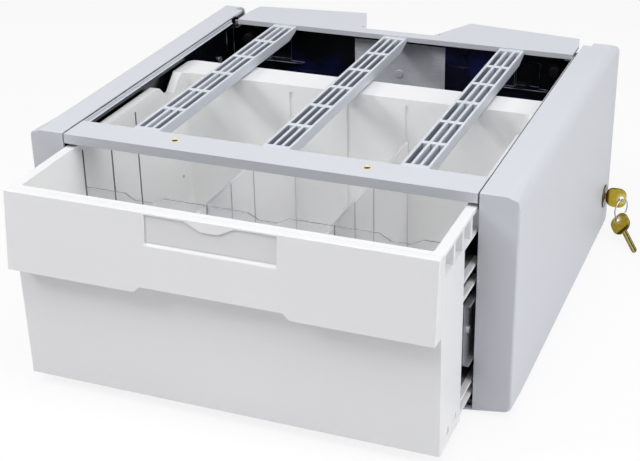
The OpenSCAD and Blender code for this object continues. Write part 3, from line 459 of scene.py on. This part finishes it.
# %% Draw the blade and its grooves
BLADE, BLADE_WIDE, BLADE_THICK = 0.0277, 0.0056, 0.0020
BLADE_ROOT, BLADE_POINT, BLADE_EDGE = 0.001, 0.0026, 0.00015
GROOVES, GROOVE_DEEP = (-0.0019, -0.0012, 0.0008, 0.0019), 0.0005
FACING = 0.9
bpy.ops.object.select_all(action="DESELECT")
bpy.ops.mesh.primitive_plane_add(size=1.0, location=(0, 0, 0))
blade = bpy.context.view_layer.objects.active
bpy.ops.object.mode_set(mode="EDIT")
bpy.ops.mesh.select_all(action="SELECT")
bpy.ops.transform.resize(value=(BLADE + BLADE_ROOT, BLADE_WIDE, 1.0))
bpy.ops.transform.rotate(value=radians(90), orient_axis="X", center_override=(0, 0, 0))
bpy.ops.transform.translate(value=((BLADE_ROOT - BLADE) / 2, BLADE_THICK / 2, 0))
pick(blade, VERTS, lambda v: v.co.x < 0)
bpy.ops.mesh.bevel(offset_type="OFFSET", offset=BLADE_POINT, segments=2, affect="VERTICES")
bpy.ops.mesh.select_all(action="SELECT")
bpy.ops.mesh.extrude_region_move(TRANSFORM_OT_translate={"value": (0, -BLADE_THICK, 0)})
for level in GROOVES:
    bpy.ops.mesh.select_all(action="SELECT")
    bpy.ops.mesh.bisect(plane_co=(0, 0, level), plane_no=(0, 0, 1))
bpy.ops.mesh.select_all(action="SELECT")
bpy.ops.mesh.normals_make_consistent(inside=False)
for flat in (-1.0, 1.0):
    pick(blade, FACES, lambda face: face.normal.y * flat > FACING
         and any(a < face.center.z < b for a, b in (GROOVES[:2], GROOVES[2:])))
    push = (0, -flat * GROOVE_DEEP, 0)
    bpy.ops.mesh.extrude_region_move(TRANSFORM_OT_translate={"value": push})
bpy.ops.mesh.select_all(action="SELECT")
bpy.ops.mesh.normals_make_consistent(inside=False)
bpy.ops.object.mode_set(mode="OBJECT")
round_edges(blade, BLADE_EDGE, segments=1, angle=SHARP_TURN)
print("blade faces:", len(blade.data.polygons))

# %% [markdown]
# The bow is painted darker towards its heel as painted shade, its thin edge and the blade's
# grooves are darker, and a pale patch around the hole is a painted highlight. The edge is
# marked face by face. For the rest, each point keeps its place on the flat key as an
# attribute, so that the finish can measure along the key wherever the key is put.

# %% Join the key and mark its wear
GROOVE_MARGIN = 0.0002
only(key)
blade.select_set(True)
bpy.ops.object.join()
rim = key.data.attributes.new("thin_edge", "FLOAT", "FACE")
for face in key.data.polygons:
    deep = face.center.x < 0 and abs(face.center.y) < BLADE_THICK / 2 - GROOVE_MARGIN
    rim.data[face.index].value = float(abs(face.normal.y) < FACING or deep)
on_key = key.data.attributes.new("on_key", "FLOAT_VECTOR", "POINT")
for point in key.data.vertices:
    on_key.data[point.index].vector = point.co
print("key faces:", len(key.data.polygons))

# %% [markdown]
# The key in the lock takes its place from the solid that it stands for. The spare key hangs
# from the ring and leans, so its place and turn are written out. Applying them leaves each
# copy at the origin with the move in its points.

# %% Put one key in the lock and one on the ring
SPARE_PLACE = (0.244486, 0.14633, 0.013456)
SPARE_TURN = (0.608267, -0.410152, 2.216568)
low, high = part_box("lock_key")
lock_place = (high[0] - BOW, (low[1] + high[1]) / 2, (low[2] + high[2]) / 2)
KEY_PLACES = {"lock_key": (lock_place, (0.0, 0.0, 0.0)), "spare_key": (SPARE_PLACE, SPARE_TURN)}
for node, (place, turn) in KEY_PLACES.items():
    only(key)
    bpy.ops.object.duplicate()
    copy = bpy.context.view_layer.objects.active
    copy.name = node + "_brass"
    copy.location = place
    copy.rotation_euler = turn
    bpy.ops.object.transform_apply(location=True, rotation=True, scale=True)
    stands_for(copy, node)
    pieces[node] = copy
    print(node, "at", [round(value, 4) for value in place])
only(key)
bpy.ops.object.delete()

# %% [markdown]
# ## Marks for sawn edges
# The clear panels and the white dividers are sawn from sheet. A clear panel is nearly
# invisible face on, but its sawn edges look grey, and those of a divider are duller than
# its face. An attribute marks the faces that don't look along a sheet's thin direction, so
# that the finishes can treat them as edges.

# %% Mark the sawn edges
SHEETS = {"cross_panel_left": 1, "cross_panel_centre": 1, "cross_panel_right": 1,
          "divider_left": 0, "divider_right": 0}
for node, thin in SHEETS.items():
    mesh = pieces[node].data
    sawn = mesh.attributes.new("sawn_edge", "FLOAT", "FACE")
    for face in mesh.polygons:
        sawn.data[face.index].value = float(abs(face.normal[thin]) < FACING)
    print(node, "edge faces:", sum(item.value > 0.5 for item in sawn.data))

# %% [markdown]
# The inside of the tub is painted whiter than the outside, as painted light in the bays.
# A face counts as inside when a point just in front of it lies in the space of the bays. The
# grooves for the panels lie deeper than the side walls and are painted dark, as painted
# shade that reads as dark lines.

# %% Mark the inside of the tub
BAY_MARGIN, AHEAD = 0.003, 0.004
GROOVE_X, GROOVE_Z = (0.1752, 0.1768), (0.05, 0.18)
bays = [item["box_m"] for item in frame["record"]["physics"]["openings"]
        if item["name"].endswith("_bay")]
bay_low = [min(box[0][axis] for box in bays) - BAY_MARGIN for axis in range(3)]
bay_high = [max(box[1][axis] for box in bays) + BAY_MARGIN for axis in range(3)]
tub = pieces["drawer_tub"].data
inside = tub.attributes.new("inside", "FLOAT", "FACE")
groove = tub.attributes.new("groove", "FLOAT", "FACE")
for face in tub.polygons:
    x, y, z = face.center
    in_groove = (GROOVE_X[0] < abs(x) < GROOVE_X[1] and GROOVE_Z[0] < z < GROOVE_Z[1]
                 and bay_low[1] < y < bay_high[1])
    groove.data[face.index].value = float(in_groove)
    ahead = face.center + face.normal * AHEAD
    in_bays = all(a < part < b for a, part, b in zip(bay_low, ahead, bay_high))
    inside.data[face.index].value = float(in_bays)
print("inside faces:", sum(item.value > 0.5 for item in inside.data))

# %% [markdown]
# ## Shared surface effects
# Each effect is a node group, built once and placed in many finishes with its own numbers.
# The groups read a position in metres, so a scale of 1000 gives features of about 1 mm.
# Noise lies around one half, so a swing takes that off and varies about nought.

# %% Helpers: nodes and groups
NUMBER, PLACE = "NodeSocketFloat", "NodeSocketVector"
NOISE_MIDDLE = 0.5


def new_group(name, inputs, outputs):
    group = bpy.data.node_groups.new(name, "ShaderNodeTree")
    for label, kind, value in inputs:
        socket = group.interface.new_socket(label, in_out="INPUT", socket_type=kind)
        if value is not None:
            socket.default_value = value
    for label in outputs:
        group.interface.new_socket(label, in_out="OUTPUT", socket_type=NUMBER)
    return group, group.nodes.new("NodeGroupInput"), group.nodes.new("NodeGroupOutput")


def feed(tree, value, socket):
    if isinstance(value, (int, float)):
        socket.default_value = value
    else:
        tree.links.new(value, socket)


def noise(tree, vector, scale, detail):
    node = tree.nodes.new("ShaderNodeTexNoise")
    node.inputs["Detail"].default_value = detail
    tree.links.new(vector, node.inputs["Vector"])
    feed(tree, scale, node.inputs["Scale"])
    return node.outputs["Fac"]


def sums(tree, operation, *values):
    node = tree.nodes.new("ShaderNodeMath")
    node.operation = operation
    for socket, value in zip(node.inputs, values):
        feed(tree, value, socket)
    return node.outputs[0]


def swing(tree, vector, scale, detail):
    return sums(tree, "SUBTRACT", noise(tree, vector, scale, detail), NOISE_MIDDLE)


def ramp(tree, value, low, high):
    node = tree.nodes.new("ShaderNodeMapRange")
    node.interpolation_type = "SMOOTHSTEP"
    tree.links.new(value, node.inputs["Value"])
    node.inputs["From Min"].default_value = low
    node.inputs["From Max"].default_value = high
    return node.outputs["Result"]


print("sockets:", NUMBER, PLACE)

# %% [markdown]
# Moulded plastic carries a spark-eroded grain, finer than a millimetre, and broad faint
# clouds where it cooled unevenly. The group gives a shade near 1, a roughness near 0 that
# is added to the finish's own, and a height for a bump.

# %% Group: moulded grain
CLOUD_SCALE, FINE_SHADE, CLOUD_ROUGH, FINE_ROUGH = 11.0, 0.04, 0.2, 0.1
grain, start, end = new_group(
    "moulded_grain",
    [("Vector", PLACE, None), ("Grain Scale", NUMBER, 1400.0), ("Clouds", NUMBER, 0.04)],
    ["Shade", "Roughness", "Height"])
fine = swing(grain, start.outputs["Vector"], start.outputs["Grain Scale"], 2.0)
cloud = swing(grain, start.outputs["Vector"], CLOUD_SCALE, 2.0)
shade = sums(grain, "MULTIPLY_ADD", cloud, start.outputs["Clouds"], 1.0)
grain.links.new(sums(grain, "MULTIPLY_ADD", fine, FINE_SHADE, shade), end.inputs["Shade"])
rough = sums(grain, "MULTIPLY_ADD", cloud, CLOUD_ROUGH,
             sums(grain, "MULTIPLY", fine, FINE_ROUGH))
grain.links.new(rough, end.inputs["Roughness"])
grain.links.new(fine, end.inputs["Height"])
print("group:", grain.name)

# %% [markdown]
# Handling leaves its own marks: edges are polished a little brighter in patches, and flat
# faces collect a few hair-thin scuffs. The scuffs are a stretched noise, kept only where
# it peaks.

# %% Group: handling marks
# On the rear panel these edge patches also paint highlights.
PATCH_SCALE, PATCH_EDGE = 70.0, (0.35, 0.65)
HAIR_TURN, HAIR_STRETCH, HAIR_EDGE = (0.5, 0.9, 0.4), (14.0, 260.0, 260.0), (0.70, 0.76)
AREA_SCALE, AREA_EDGE = 9.0, (0.50, 0.62)
marks, start, end = new_group(
    "handling_marks",
    [("Vector", PLACE, None), ("Edge", NUMBER, 0.0), ("Scuffs", NUMBER, 0.2)],
    ["Rub", "Scuff"])
patch = ramp(marks, noise(marks, start.outputs["Vector"], PATCH_SCALE, 4.0), *PATCH_EDGE)
marks.links.new(sums(marks, "MULTIPLY", patch, start.outputs["Edge"]), end.inputs["Rub"])
turn = marks.nodes.new("ShaderNodeMapping")
turn.inputs["Rotation"].default_value = HAIR_TURN
turn.inputs["Scale"].default_value = HAIR_STRETCH
marks.links.new(start.outputs["Vector"], turn.inputs["Vector"])
hair = ramp(marks, noise(marks, turn.outputs["Vector"], 1.0, 1.0), *HAIR_EDGE)
area = ramp(marks, noise(marks, start.outputs["Vector"], AREA_SCALE, 1.0), *AREA_EDGE)
scuff = sums(marks, "MULTIPLY", sums(marks, "MULTIPLY", hair, area), start.outputs["Scuffs"])
marks.links.new(scuff, end.inputs["Scuff"])
print("group:", marks.name)

# %% [markdown]
# Rolled and ground metal shows fine lines in one direction. Stretching the position before
# a noise texture makes its spots into streaks, and a slow noise stands for stains.

# %% Group: rolled lines
STAIN_SCALE, STREAK = 60.0, 0.2
lines, start, end = new_group(
    "rolled_lines",
    [("Vector", PLACE, None), ("Stretch", PLACE, (4000.0, 40.0, 4000.0)), ("Stain", NUMBER, 0.2)],
    ["Shade", "Roughness", "Height"])
stretch = lines.nodes.new("ShaderNodeVectorMath")
stretch.operation = "MULTIPLY"
lines.links.new(start.outputs["Vector"], stretch.inputs[0])
lines.links.new(start.outputs["Stretch"], stretch.inputs[1])
streak = swing(lines, stretch.outputs[0], 1.0, 3.0)
stain = swing(lines, start.outputs["Vector"], STAIN_SCALE, 3.0)
tone = sums(lines, "MULTIPLY_ADD", stain, start.outputs["Stain"], 1.0)
lines.links.new(sums(lines, "MULTIPLY_ADD", streak, STREAK, tone), end.inputs["Shade"])
dull = sums(lines, "MULTIPLY", stain, start.outputs["Stain"])
lines.links.new(sums(lines, "MULTIPLY_ADD", streak, STREAK, dull), end.inputs["Roughness"])
lines.links.new(streak, end.inputs["Height"])
print("group:", lines.name)

# %% [markdown]
# ## Finishes
# Every finish starts the same way: a position, one shared effect, a colour that the effect
# shades, and a Principled shader. Edges and scuffs are mixed in where the piece has them.

# %% Helper: make a finish
EDGE_GLOSS, RELIEF = -0.12, 0.0001


def srgb(red, green, blue):
    def linear(value):
        value = value / 255.0
        return value / 12.92 if value <= 0.04045 else ((value + 0.055) / 1.055) ** 2.4
    return (linear(red), linear(green), linear(blue), 1.0)


def blend_colour(tree, factor, first, second, kind="MIX"):
    node = tree.nodes.new("ShaderNodeMix")
    node.data_type = "RGBA"
    node.blend_type = kind
    feed(tree, factor, node.inputs["Factor"])
    for label, value in (("A", first), ("B", second)):
        if isinstance(value, tuple):
            node.inputs[label].default_value = value
        else:
            tree.links.new(value, node.inputs[label])
    return node.outputs["Result"]


def mark(tree, name, output="Fac"):
    node = tree.nodes.new("ShaderNodeAttribute")
    node.attribute_name = name
    return node.outputs[output]


def finish(name, colour, roughness, effect, settings,
           bump=0.1, metallic=0.0, edge=None, scuffs=0.2):
    material = bpy.data.materials.new(name)
    material.use_nodes = True
    tree = material.node_tree
    shader = tree.nodes["Principled BSDF"]
    shader.inputs["Metallic"].default_value = metallic
    place = tree.nodes.new("ShaderNodeTexCoord").outputs["Object"]
    surface = tree.nodes.new("ShaderNodeGroup")
    surface.node_tree = effect
    tree.links.new(place, surface.inputs["Vector"])
    for label, value in settings.items():
        surface.inputs[label].default_value = value
    paint = blend_colour(tree, 1.0, colour, surface.outputs["Shade"], "MULTIPLY")
    rough = sums(tree, "ADD", surface.outputs["Roughness"], roughness)
    if edge is not None:
        handled = tree.nodes.new("ShaderNodeGroup")
        handled.node_tree = marks
        handled.inputs["Scuffs"].default_value = scuffs
        tree.links.new(place, handled.inputs["Vector"])
        tree.links.new(mark(tree, "bevel_edge"), handled.inputs["Edge"])
        paint = blend_colour(tree, handled.outputs["Rub"], paint, edge)
        paint = blend_colour(tree, handled.outputs["Scuff"], paint, edge)
        rough = sums(tree, "MULTIPLY_ADD", handled.outputs["Rub"], EDGE_GLOSS, rough)
    tree.links.new(paint, shader.inputs["Base Color"])
    tree.links.new(rough, shader.inputs["Roughness"])
    relief = tree.nodes.new("ShaderNodeBump")
    relief.inputs["Strength"].default_value = bump
    relief.inputs["Distance"].default_value = RELIEF
    tree.links.new(surface.outputs["Height"], relief.inputs["Height"])
    tree.links.new(relief.outputs["Normal"], shader.inputs["Normal"])
    return material


print("mid grey is", round(srgb(128, 128, 128)[0], 3), "in linear light")

# %% [markdown]
# The covers and bars are a cool pale grey with a fine matt grain. The slats have a little
# more gloss. The drawer is a satin white. All three look fresh, so their edges and scuffs are
# only slightly paler than the face. The rubber stops and the blank card use the same grain.

# %% Plastics
def set_specular(material, level):
    shader = material.node_tree.nodes["Principled BSDF"]
    shader.inputs["Specular IOR Level"].default_value = level


finishes = {
    "grey_plastic": finish(
        "grey_plastic", srgb(199, 202, 209), 0.48, grain,
        {"Grain Scale": 1400.0, "Clouds": 0.05}, edge=srgb(214, 217, 223)),
    "slat_plastic": finish(
        "slat_plastic", srgb(200, 205, 214), 0.40, grain,
        {"Grain Scale": 1600.0, "Clouds": 0.05}, edge=srgb(210, 214, 224)),
    "white_plastic": finish(
        "white_plastic", srgb(228, 228, 230), 0.42, grain,
        {"Grain Scale": 1800.0, "Clouds": 0.03}, edge=srgb(236, 236, 238), scuffs=0.12),
    "rubber": finish(
        "rubber", srgb(14, 14, 15), 0.7, grain, {"Grain Scale": 1200.0, "Clouds": 0.2}),
    "card": finish(
        "card", srgb(216, 216, 218), 0.65, grain, {"Grain Scale": 2500.0, "Clouds": 0.05}),
}
set_specular(finishes["rubber"], 0.1)
print("plastics:", ", ".join(finishes))

# %% [markdown]
# Some places need a second colour, mixed in by their attribute: painted shade in the depth of
# a slat's slots, painted light on the inside of the tub and painted shade in its grooves, and
# the sawn edges of the dividers.

# %% Slots and sawn edges
def paint_over(tree, factor, colour):
    base = tree.nodes["Principled BSDF"].inputs["Base Color"]
    under = base.links[0].from_socket
    tree.links.new(blend_colour(tree, factor, under, colour), base)


def mix_by_attribute(material, attribute, colour, amount):
    tree = material.node_tree
    paint_over(tree, sums(tree, "MULTIPLY", mark(tree, attribute), amount), colour)


# painted shade in the slots, darker with depth
mix_by_attribute(finishes["slat_plastic"], "recess_shade", srgb(84, 88, 100), 0.95)
# painted light: the inside of the tub is painted whiter
mix_by_attribute(finishes["white_plastic"], "inside", srgb(250, 250, 250), 0.95)
# painted shade: the panel grooves are painted dark
mix_by_attribute(finishes["white_plastic"], "groove", srgb(120, 121, 126), 0.85)
divider_white = finish(
    "divider_white", srgb(248, 248, 249), 0.40, grain,
    {"Grain Scale": 1800.0, "Clouds": 0.03}, edge=srgb(228, 228, 229), scuffs=0.12)
mix_by_attribute(divider_white, "sawn_edge", srgb(196, 197, 200), 0.9)
print("divider:", divider_white.name)

# %% [markdown]
# The inner box is sheet steel under a glossy black powder coat, which has a slight orange
# peel. The rear panel has the same coat, with a bluish sheen painted in places as reflections,
# and pale worn edges around its pressed pockets that also serve as painted highlights. The
# plate at the rear is bare rolled steel, painted near white to stand in for its bright
# reflections. Slides, screws and the ring are zinc plated. The lock's body is dark steel,
# darkened further as painted shade from the key. Its plug, the keys and the inserts are brass,
# and the inserts' bores are painted dark as shade.

# %% Steel and brass
SHEEN_SCALE, SHEEN_EDGE, SHEEN = 16.0, (0.56, 0.70), 0.8
COAT = {"Grain Scale": 700.0, "Clouds": 0.25}
finishes["black_steel"] = finish(
    "black_steel", srgb(11, 12, 18), 0.22, grain, COAT, edge=srgb(112, 116, 130), scuffs=0.3)
# painted highlight: pale patches along the rear panel's edges
panel_black = finish(
    "panel_black", srgb(8, 9, 14), 0.20, grain, COAT, edge=srgb(150, 155, 172))
seat_black = finish(
    "seat_black", srgb(9, 9, 12), 0.6, grain, {"Grain Scale": 700.0, "Clouds": 0.2})
set_specular(seat_black, 0.15)
tree = panel_black.node_tree
place = tree.nodes.new("ShaderNodeTexCoord").outputs["Object"]
# painted reflection: bluish sheen spots on the black coat
spots = ramp(tree, noise(tree, place, SHEEN_SCALE, 1.0), *SHEEN_EDGE)
paint_over(tree, sums(tree, "MULTIPLY", spots, SHEEN), srgb(24, 34, 92))
# painted reflection: near white stands in for what bare steel would reflect
finishes["plain_steel"] = finish(
    "plain_steel", srgb(230, 233, 242), 0.24, lines,
    {"Stretch": (60.0, 4000.0, 4000.0), "Stain": 0.25}, metallic=0.1)
finishes["zinc_steel"] = finish(
    "zinc_steel", srgb(188, 190, 195), 0.34, lines,
    {"Stretch": (4000.0, 60.0, 4000.0), "Stain": 0.3}, metallic=0.75)
finishes["brass"] = finish(
    "brass", srgb(190, 166, 58), 0.26, lines,
    {"Stretch": (300.0, 5000.0, 5000.0), "Stain": 0.35},
    metallic=0.9, edge=srgb(120, 106, 40), scuffs=0.4)
mix_by_attribute(finishes["brass"], "thin_edge", srgb(84, 78, 24), 0.85)
# painted shade: the lock body and its edges are darkened for the key's shadow
lock_steel = finish(
    "lock_steel", srgb(92, 88, 92), 0.30, lines,
    {"Stretch": (4000.0, 300.0, 4000.0), "Stain": 0.3},
    metallic=0.9, edge=srgb(60, 52, 52), scuffs=0.3)
insert_brass = finish(
    "insert_brass", srgb(226, 216, 176), 0.30, lines,
    {"Stretch": (3000.0, 3000.0, 300.0), "Stain": 0.3}, metallic=0.9)
# painted shade inside the threaded bore
mix_by_attribute(insert_brass, "recess_shade", srgb(44, 34, 22), 0.92)
print("metals:", finishes["brass"].name, finishes["zinc_steel"].name, insert_brass.name)

# %% [markdown]
# The keys share the lock's brass and add marks along the key: painted shade at the heel, a
# pale painted highlight around the hole, and a blade rubbed pale by the lock. A smooth ramp
# over the place on the key draws each of them.

# %% Key brass
HIGHLIGHT_REACH, HIGHLIGHT_FULL = 0.0075, 0.0026
HEEL_SHADE_START, HEEL_SHADE_FULL, HEEL_SHADE_STEP = 0.0048, 0.0022, 0.0004
RUB_START, RUB_FULL, RUB = 0.0004, -0.002, 0.6
key_brass = finishes["brass"].copy()
key_brass.name = "key_brass"
tree = key_brass.node_tree
axes = tree.nodes.new("ShaderNodeSeparateXYZ")
tree.links.new(mark(tree, "on_key", "Vector"), axes.inputs["Vector"])
along, across = axes.outputs["X"], axes.outputs["Z"]
# painted highlight: a pale patch around the ring's hole
reach = sums(tree, "ADD",
             sums(tree, "POWER", sums(tree, "SUBTRACT", along, BOW - HOLE_INSET), 2.0),
             sums(tree, "POWER", across, 2.0))
hole_highlight = ramp(tree, sums(tree, "SQRT", reach), HIGHLIGHT_REACH, HIGHLIGHT_FULL)
# painted shade: the bow darkens towards its heel
heel_shade = sums(tree, "MULTIPLY", ramp(tree, along, HEEL_SHADE_START, HEEL_SHADE_FULL),
            ramp(tree, along, 0.0, HEEL_SHADE_STEP))
rubbed = sums(tree, "MULTIPLY", ramp(tree, along, RUB_START, RUB_FULL), RUB)
flat = sums(tree, "SUBTRACT", 1.0, mark(tree, "thin_edge"))
for mask, colour, amount in ((hole_highlight, srgb(238, 220, 160), 0.6),
                             (rubbed, srgb(226, 218, 160), 1.0),
                             (heel_shade, srgb(46, 16, 10), 0.92)):
    factor = sums(tree, "MULTIPLY", sums(tree, "MULTIPLY", mask, amount), flat)
    paint_over(tree, factor, colour)
print("keys:", key_brass.name)

# %% [markdown]
# The cross panels are clear plastic. A low alpha lets light and sight through without
# darkening what lies behind, the cut edges are greyer and denser, and the gloss stays.

# %% Clear plastic
FACE_ALPHA, EDGE_ALPHA = 0.10, 0.55
clear = finish("clear_plastic", srgb(226, 230, 233), 0.08, grain,
               {"Grain Scale": 300.0, "Clouds": 0.02}, bump=0.02)
tree = clear.node_tree
sawn_mark = mark(tree, "sawn_edge")
density = sums(tree, "MULTIPLY_ADD", sawn_mark, EDGE_ALPHA, FACE_ALPHA)
paint_over(tree, sawn_mark, srgb(142, 146, 152))
tree.links.new(density, tree.nodes["Principled BSDF"].inputs["Alpha"])
finishes["clear_plastic"] = clear
print("clear:", clear.name)

# %% [markdown]
# ## Dressing the pieces
# The record gives every solid a material slot, and most pieces take the finish of that name.
# A few look different from the rest of their slot and have a finish of their own.

# %% Give every piece and every solid its finish
own_finish = {"divider_left": divider_white, "divider_right": divider_white,
              "threaded_inserts": insert_brass, "lock_body": lock_steel,
              "lock_key": key_brass, "spare_key": key_brass,
              "rear_panel": panel_black, "bar_seats": seat_black}
for node, solid in frame["nodes"].items():
    for item in {solid, pieces.get(node, solid)}:
        item.data.materials.clear()
        item.data.materials.append(own_finish.get(node, finishes[slot_of[node]]))
print("dressed:", len(frame["nodes"]))

# %% [markdown]
# ## Stage and light
# The floor is a wide white sheet. To the camera and in reflections it looks white, and it
# still takes the soft shadow under the box.

# %% Floor
SHEET_SIZE, SHEET_DROP, SHEET_GREY, SHEET_GLOW = 12.0, 0.0006, 0.86, 0.85


def seen_directly(tree):
    path = tree.nodes.new("ShaderNodeLightPath")
    seen = sums(tree, "MAXIMUM", path.outputs["Is Camera Ray"], path.outputs["Is Glossy Ray"])
    return sums(tree, "MAXIMUM", seen, path.outputs["Is Transmission Ray"])


bpy.ops.object.select_all(action="DESELECT")
bpy.ops.mesh.primitive_plane_add(size=SHEET_SIZE, location=(0, 0, -SHEET_DROP))
floor = bpy.context.view_layer.objects.active
floor.name = "floor"
paper = bpy.data.materials.new("paper_floor")
paper.use_nodes = True
tree = paper.node_tree
shader = tree.nodes["Principled BSDF"]
shader.inputs["Roughness"].default_value = 0.9
shader.inputs["Base Color"].default_value = (SHEET_GREY, SHEET_GREY, SHEET_GREY, 1.0)
glow = tree.nodes.new("ShaderNodeEmission")
blend = tree.nodes.new("ShaderNodeMixShader")
tree.links.new(sums(tree, "MULTIPLY", seen_directly(tree), SHEET_GLOW), blend.inputs["Fac"])
tree.links.new(shader.outputs["BSDF"], blend.inputs[1])
tree.links.new(glow.outputs["Emission"], blend.inputs[2])
tree.links.new(blend.outputs["Shader"], tree.nodes["Material Output"].inputs["Surface"])
floor.data.materials.append(paper)
print("floor:", floor.name)

# %% [markdown]
# A pale world and large soft lamps light the object at a plain level, so that a colour
# renders about as it is written. The world is brighter to the camera and in reflections than
# as a light, which keeps the background white without washing out the shadows.

# %% World and lamps
WORLD_LIGHT, WORLD_SEEN = 0.15, 0.85
AIM = (0.0, 0.0, 0.1)
LAMPS = {
    "top_softbox": ((0.1, -0.45, 1.9), (1.8, 1.6), 26.5),
    "right_softbox": ((1.7, -0.6, 1.5), (1.2, 1.2), 9.5),
    "right_low_softbox": ((2.1, -0.3, 0.8), (1.2, 1.0), 12.5),
    "left_front_softbox": ((-1.5, -1.3, 1.6), (0.6, 0.6), 18.5),
}
world = bpy.data.worlds.new("studio")
bpy.context.scene.world = world
world.use_nodes = True
tree = world.node_tree
back = tree.nodes["Background"]
back.inputs["Color"].default_value = (1.0, 1.0, 1.0, 1.0)
level = sums(tree, "MULTIPLY_ADD", seen_directly(tree), WORLD_SEEN, WORLD_LIGHT)
tree.links.new(level, back.inputs["Strength"])
for name, (place, size, power) in LAMPS.items():
    lamp = bpy.data.lights.new(name, "AREA")
    lamp.shape = "RECTANGLE"
    lamp.size, lamp.size_y = size
    lamp.energy = power
    holder = bpy.data.objects.new(name, lamp)
    holder.location = place
    holder.rotation_euler = (Vector(AIM) - Vector(place)).to_track_quat("-Z", "Y").to_euler()
    bpy.context.scene.collection.objects.link(holder)
    print(name, power)

# %% [markdown]
# ## Last settings
# The Standard view shows colours as they are, without a film curve.

# %% View settings
bpy.context.scene.view_settings.view_transform = "Standard"
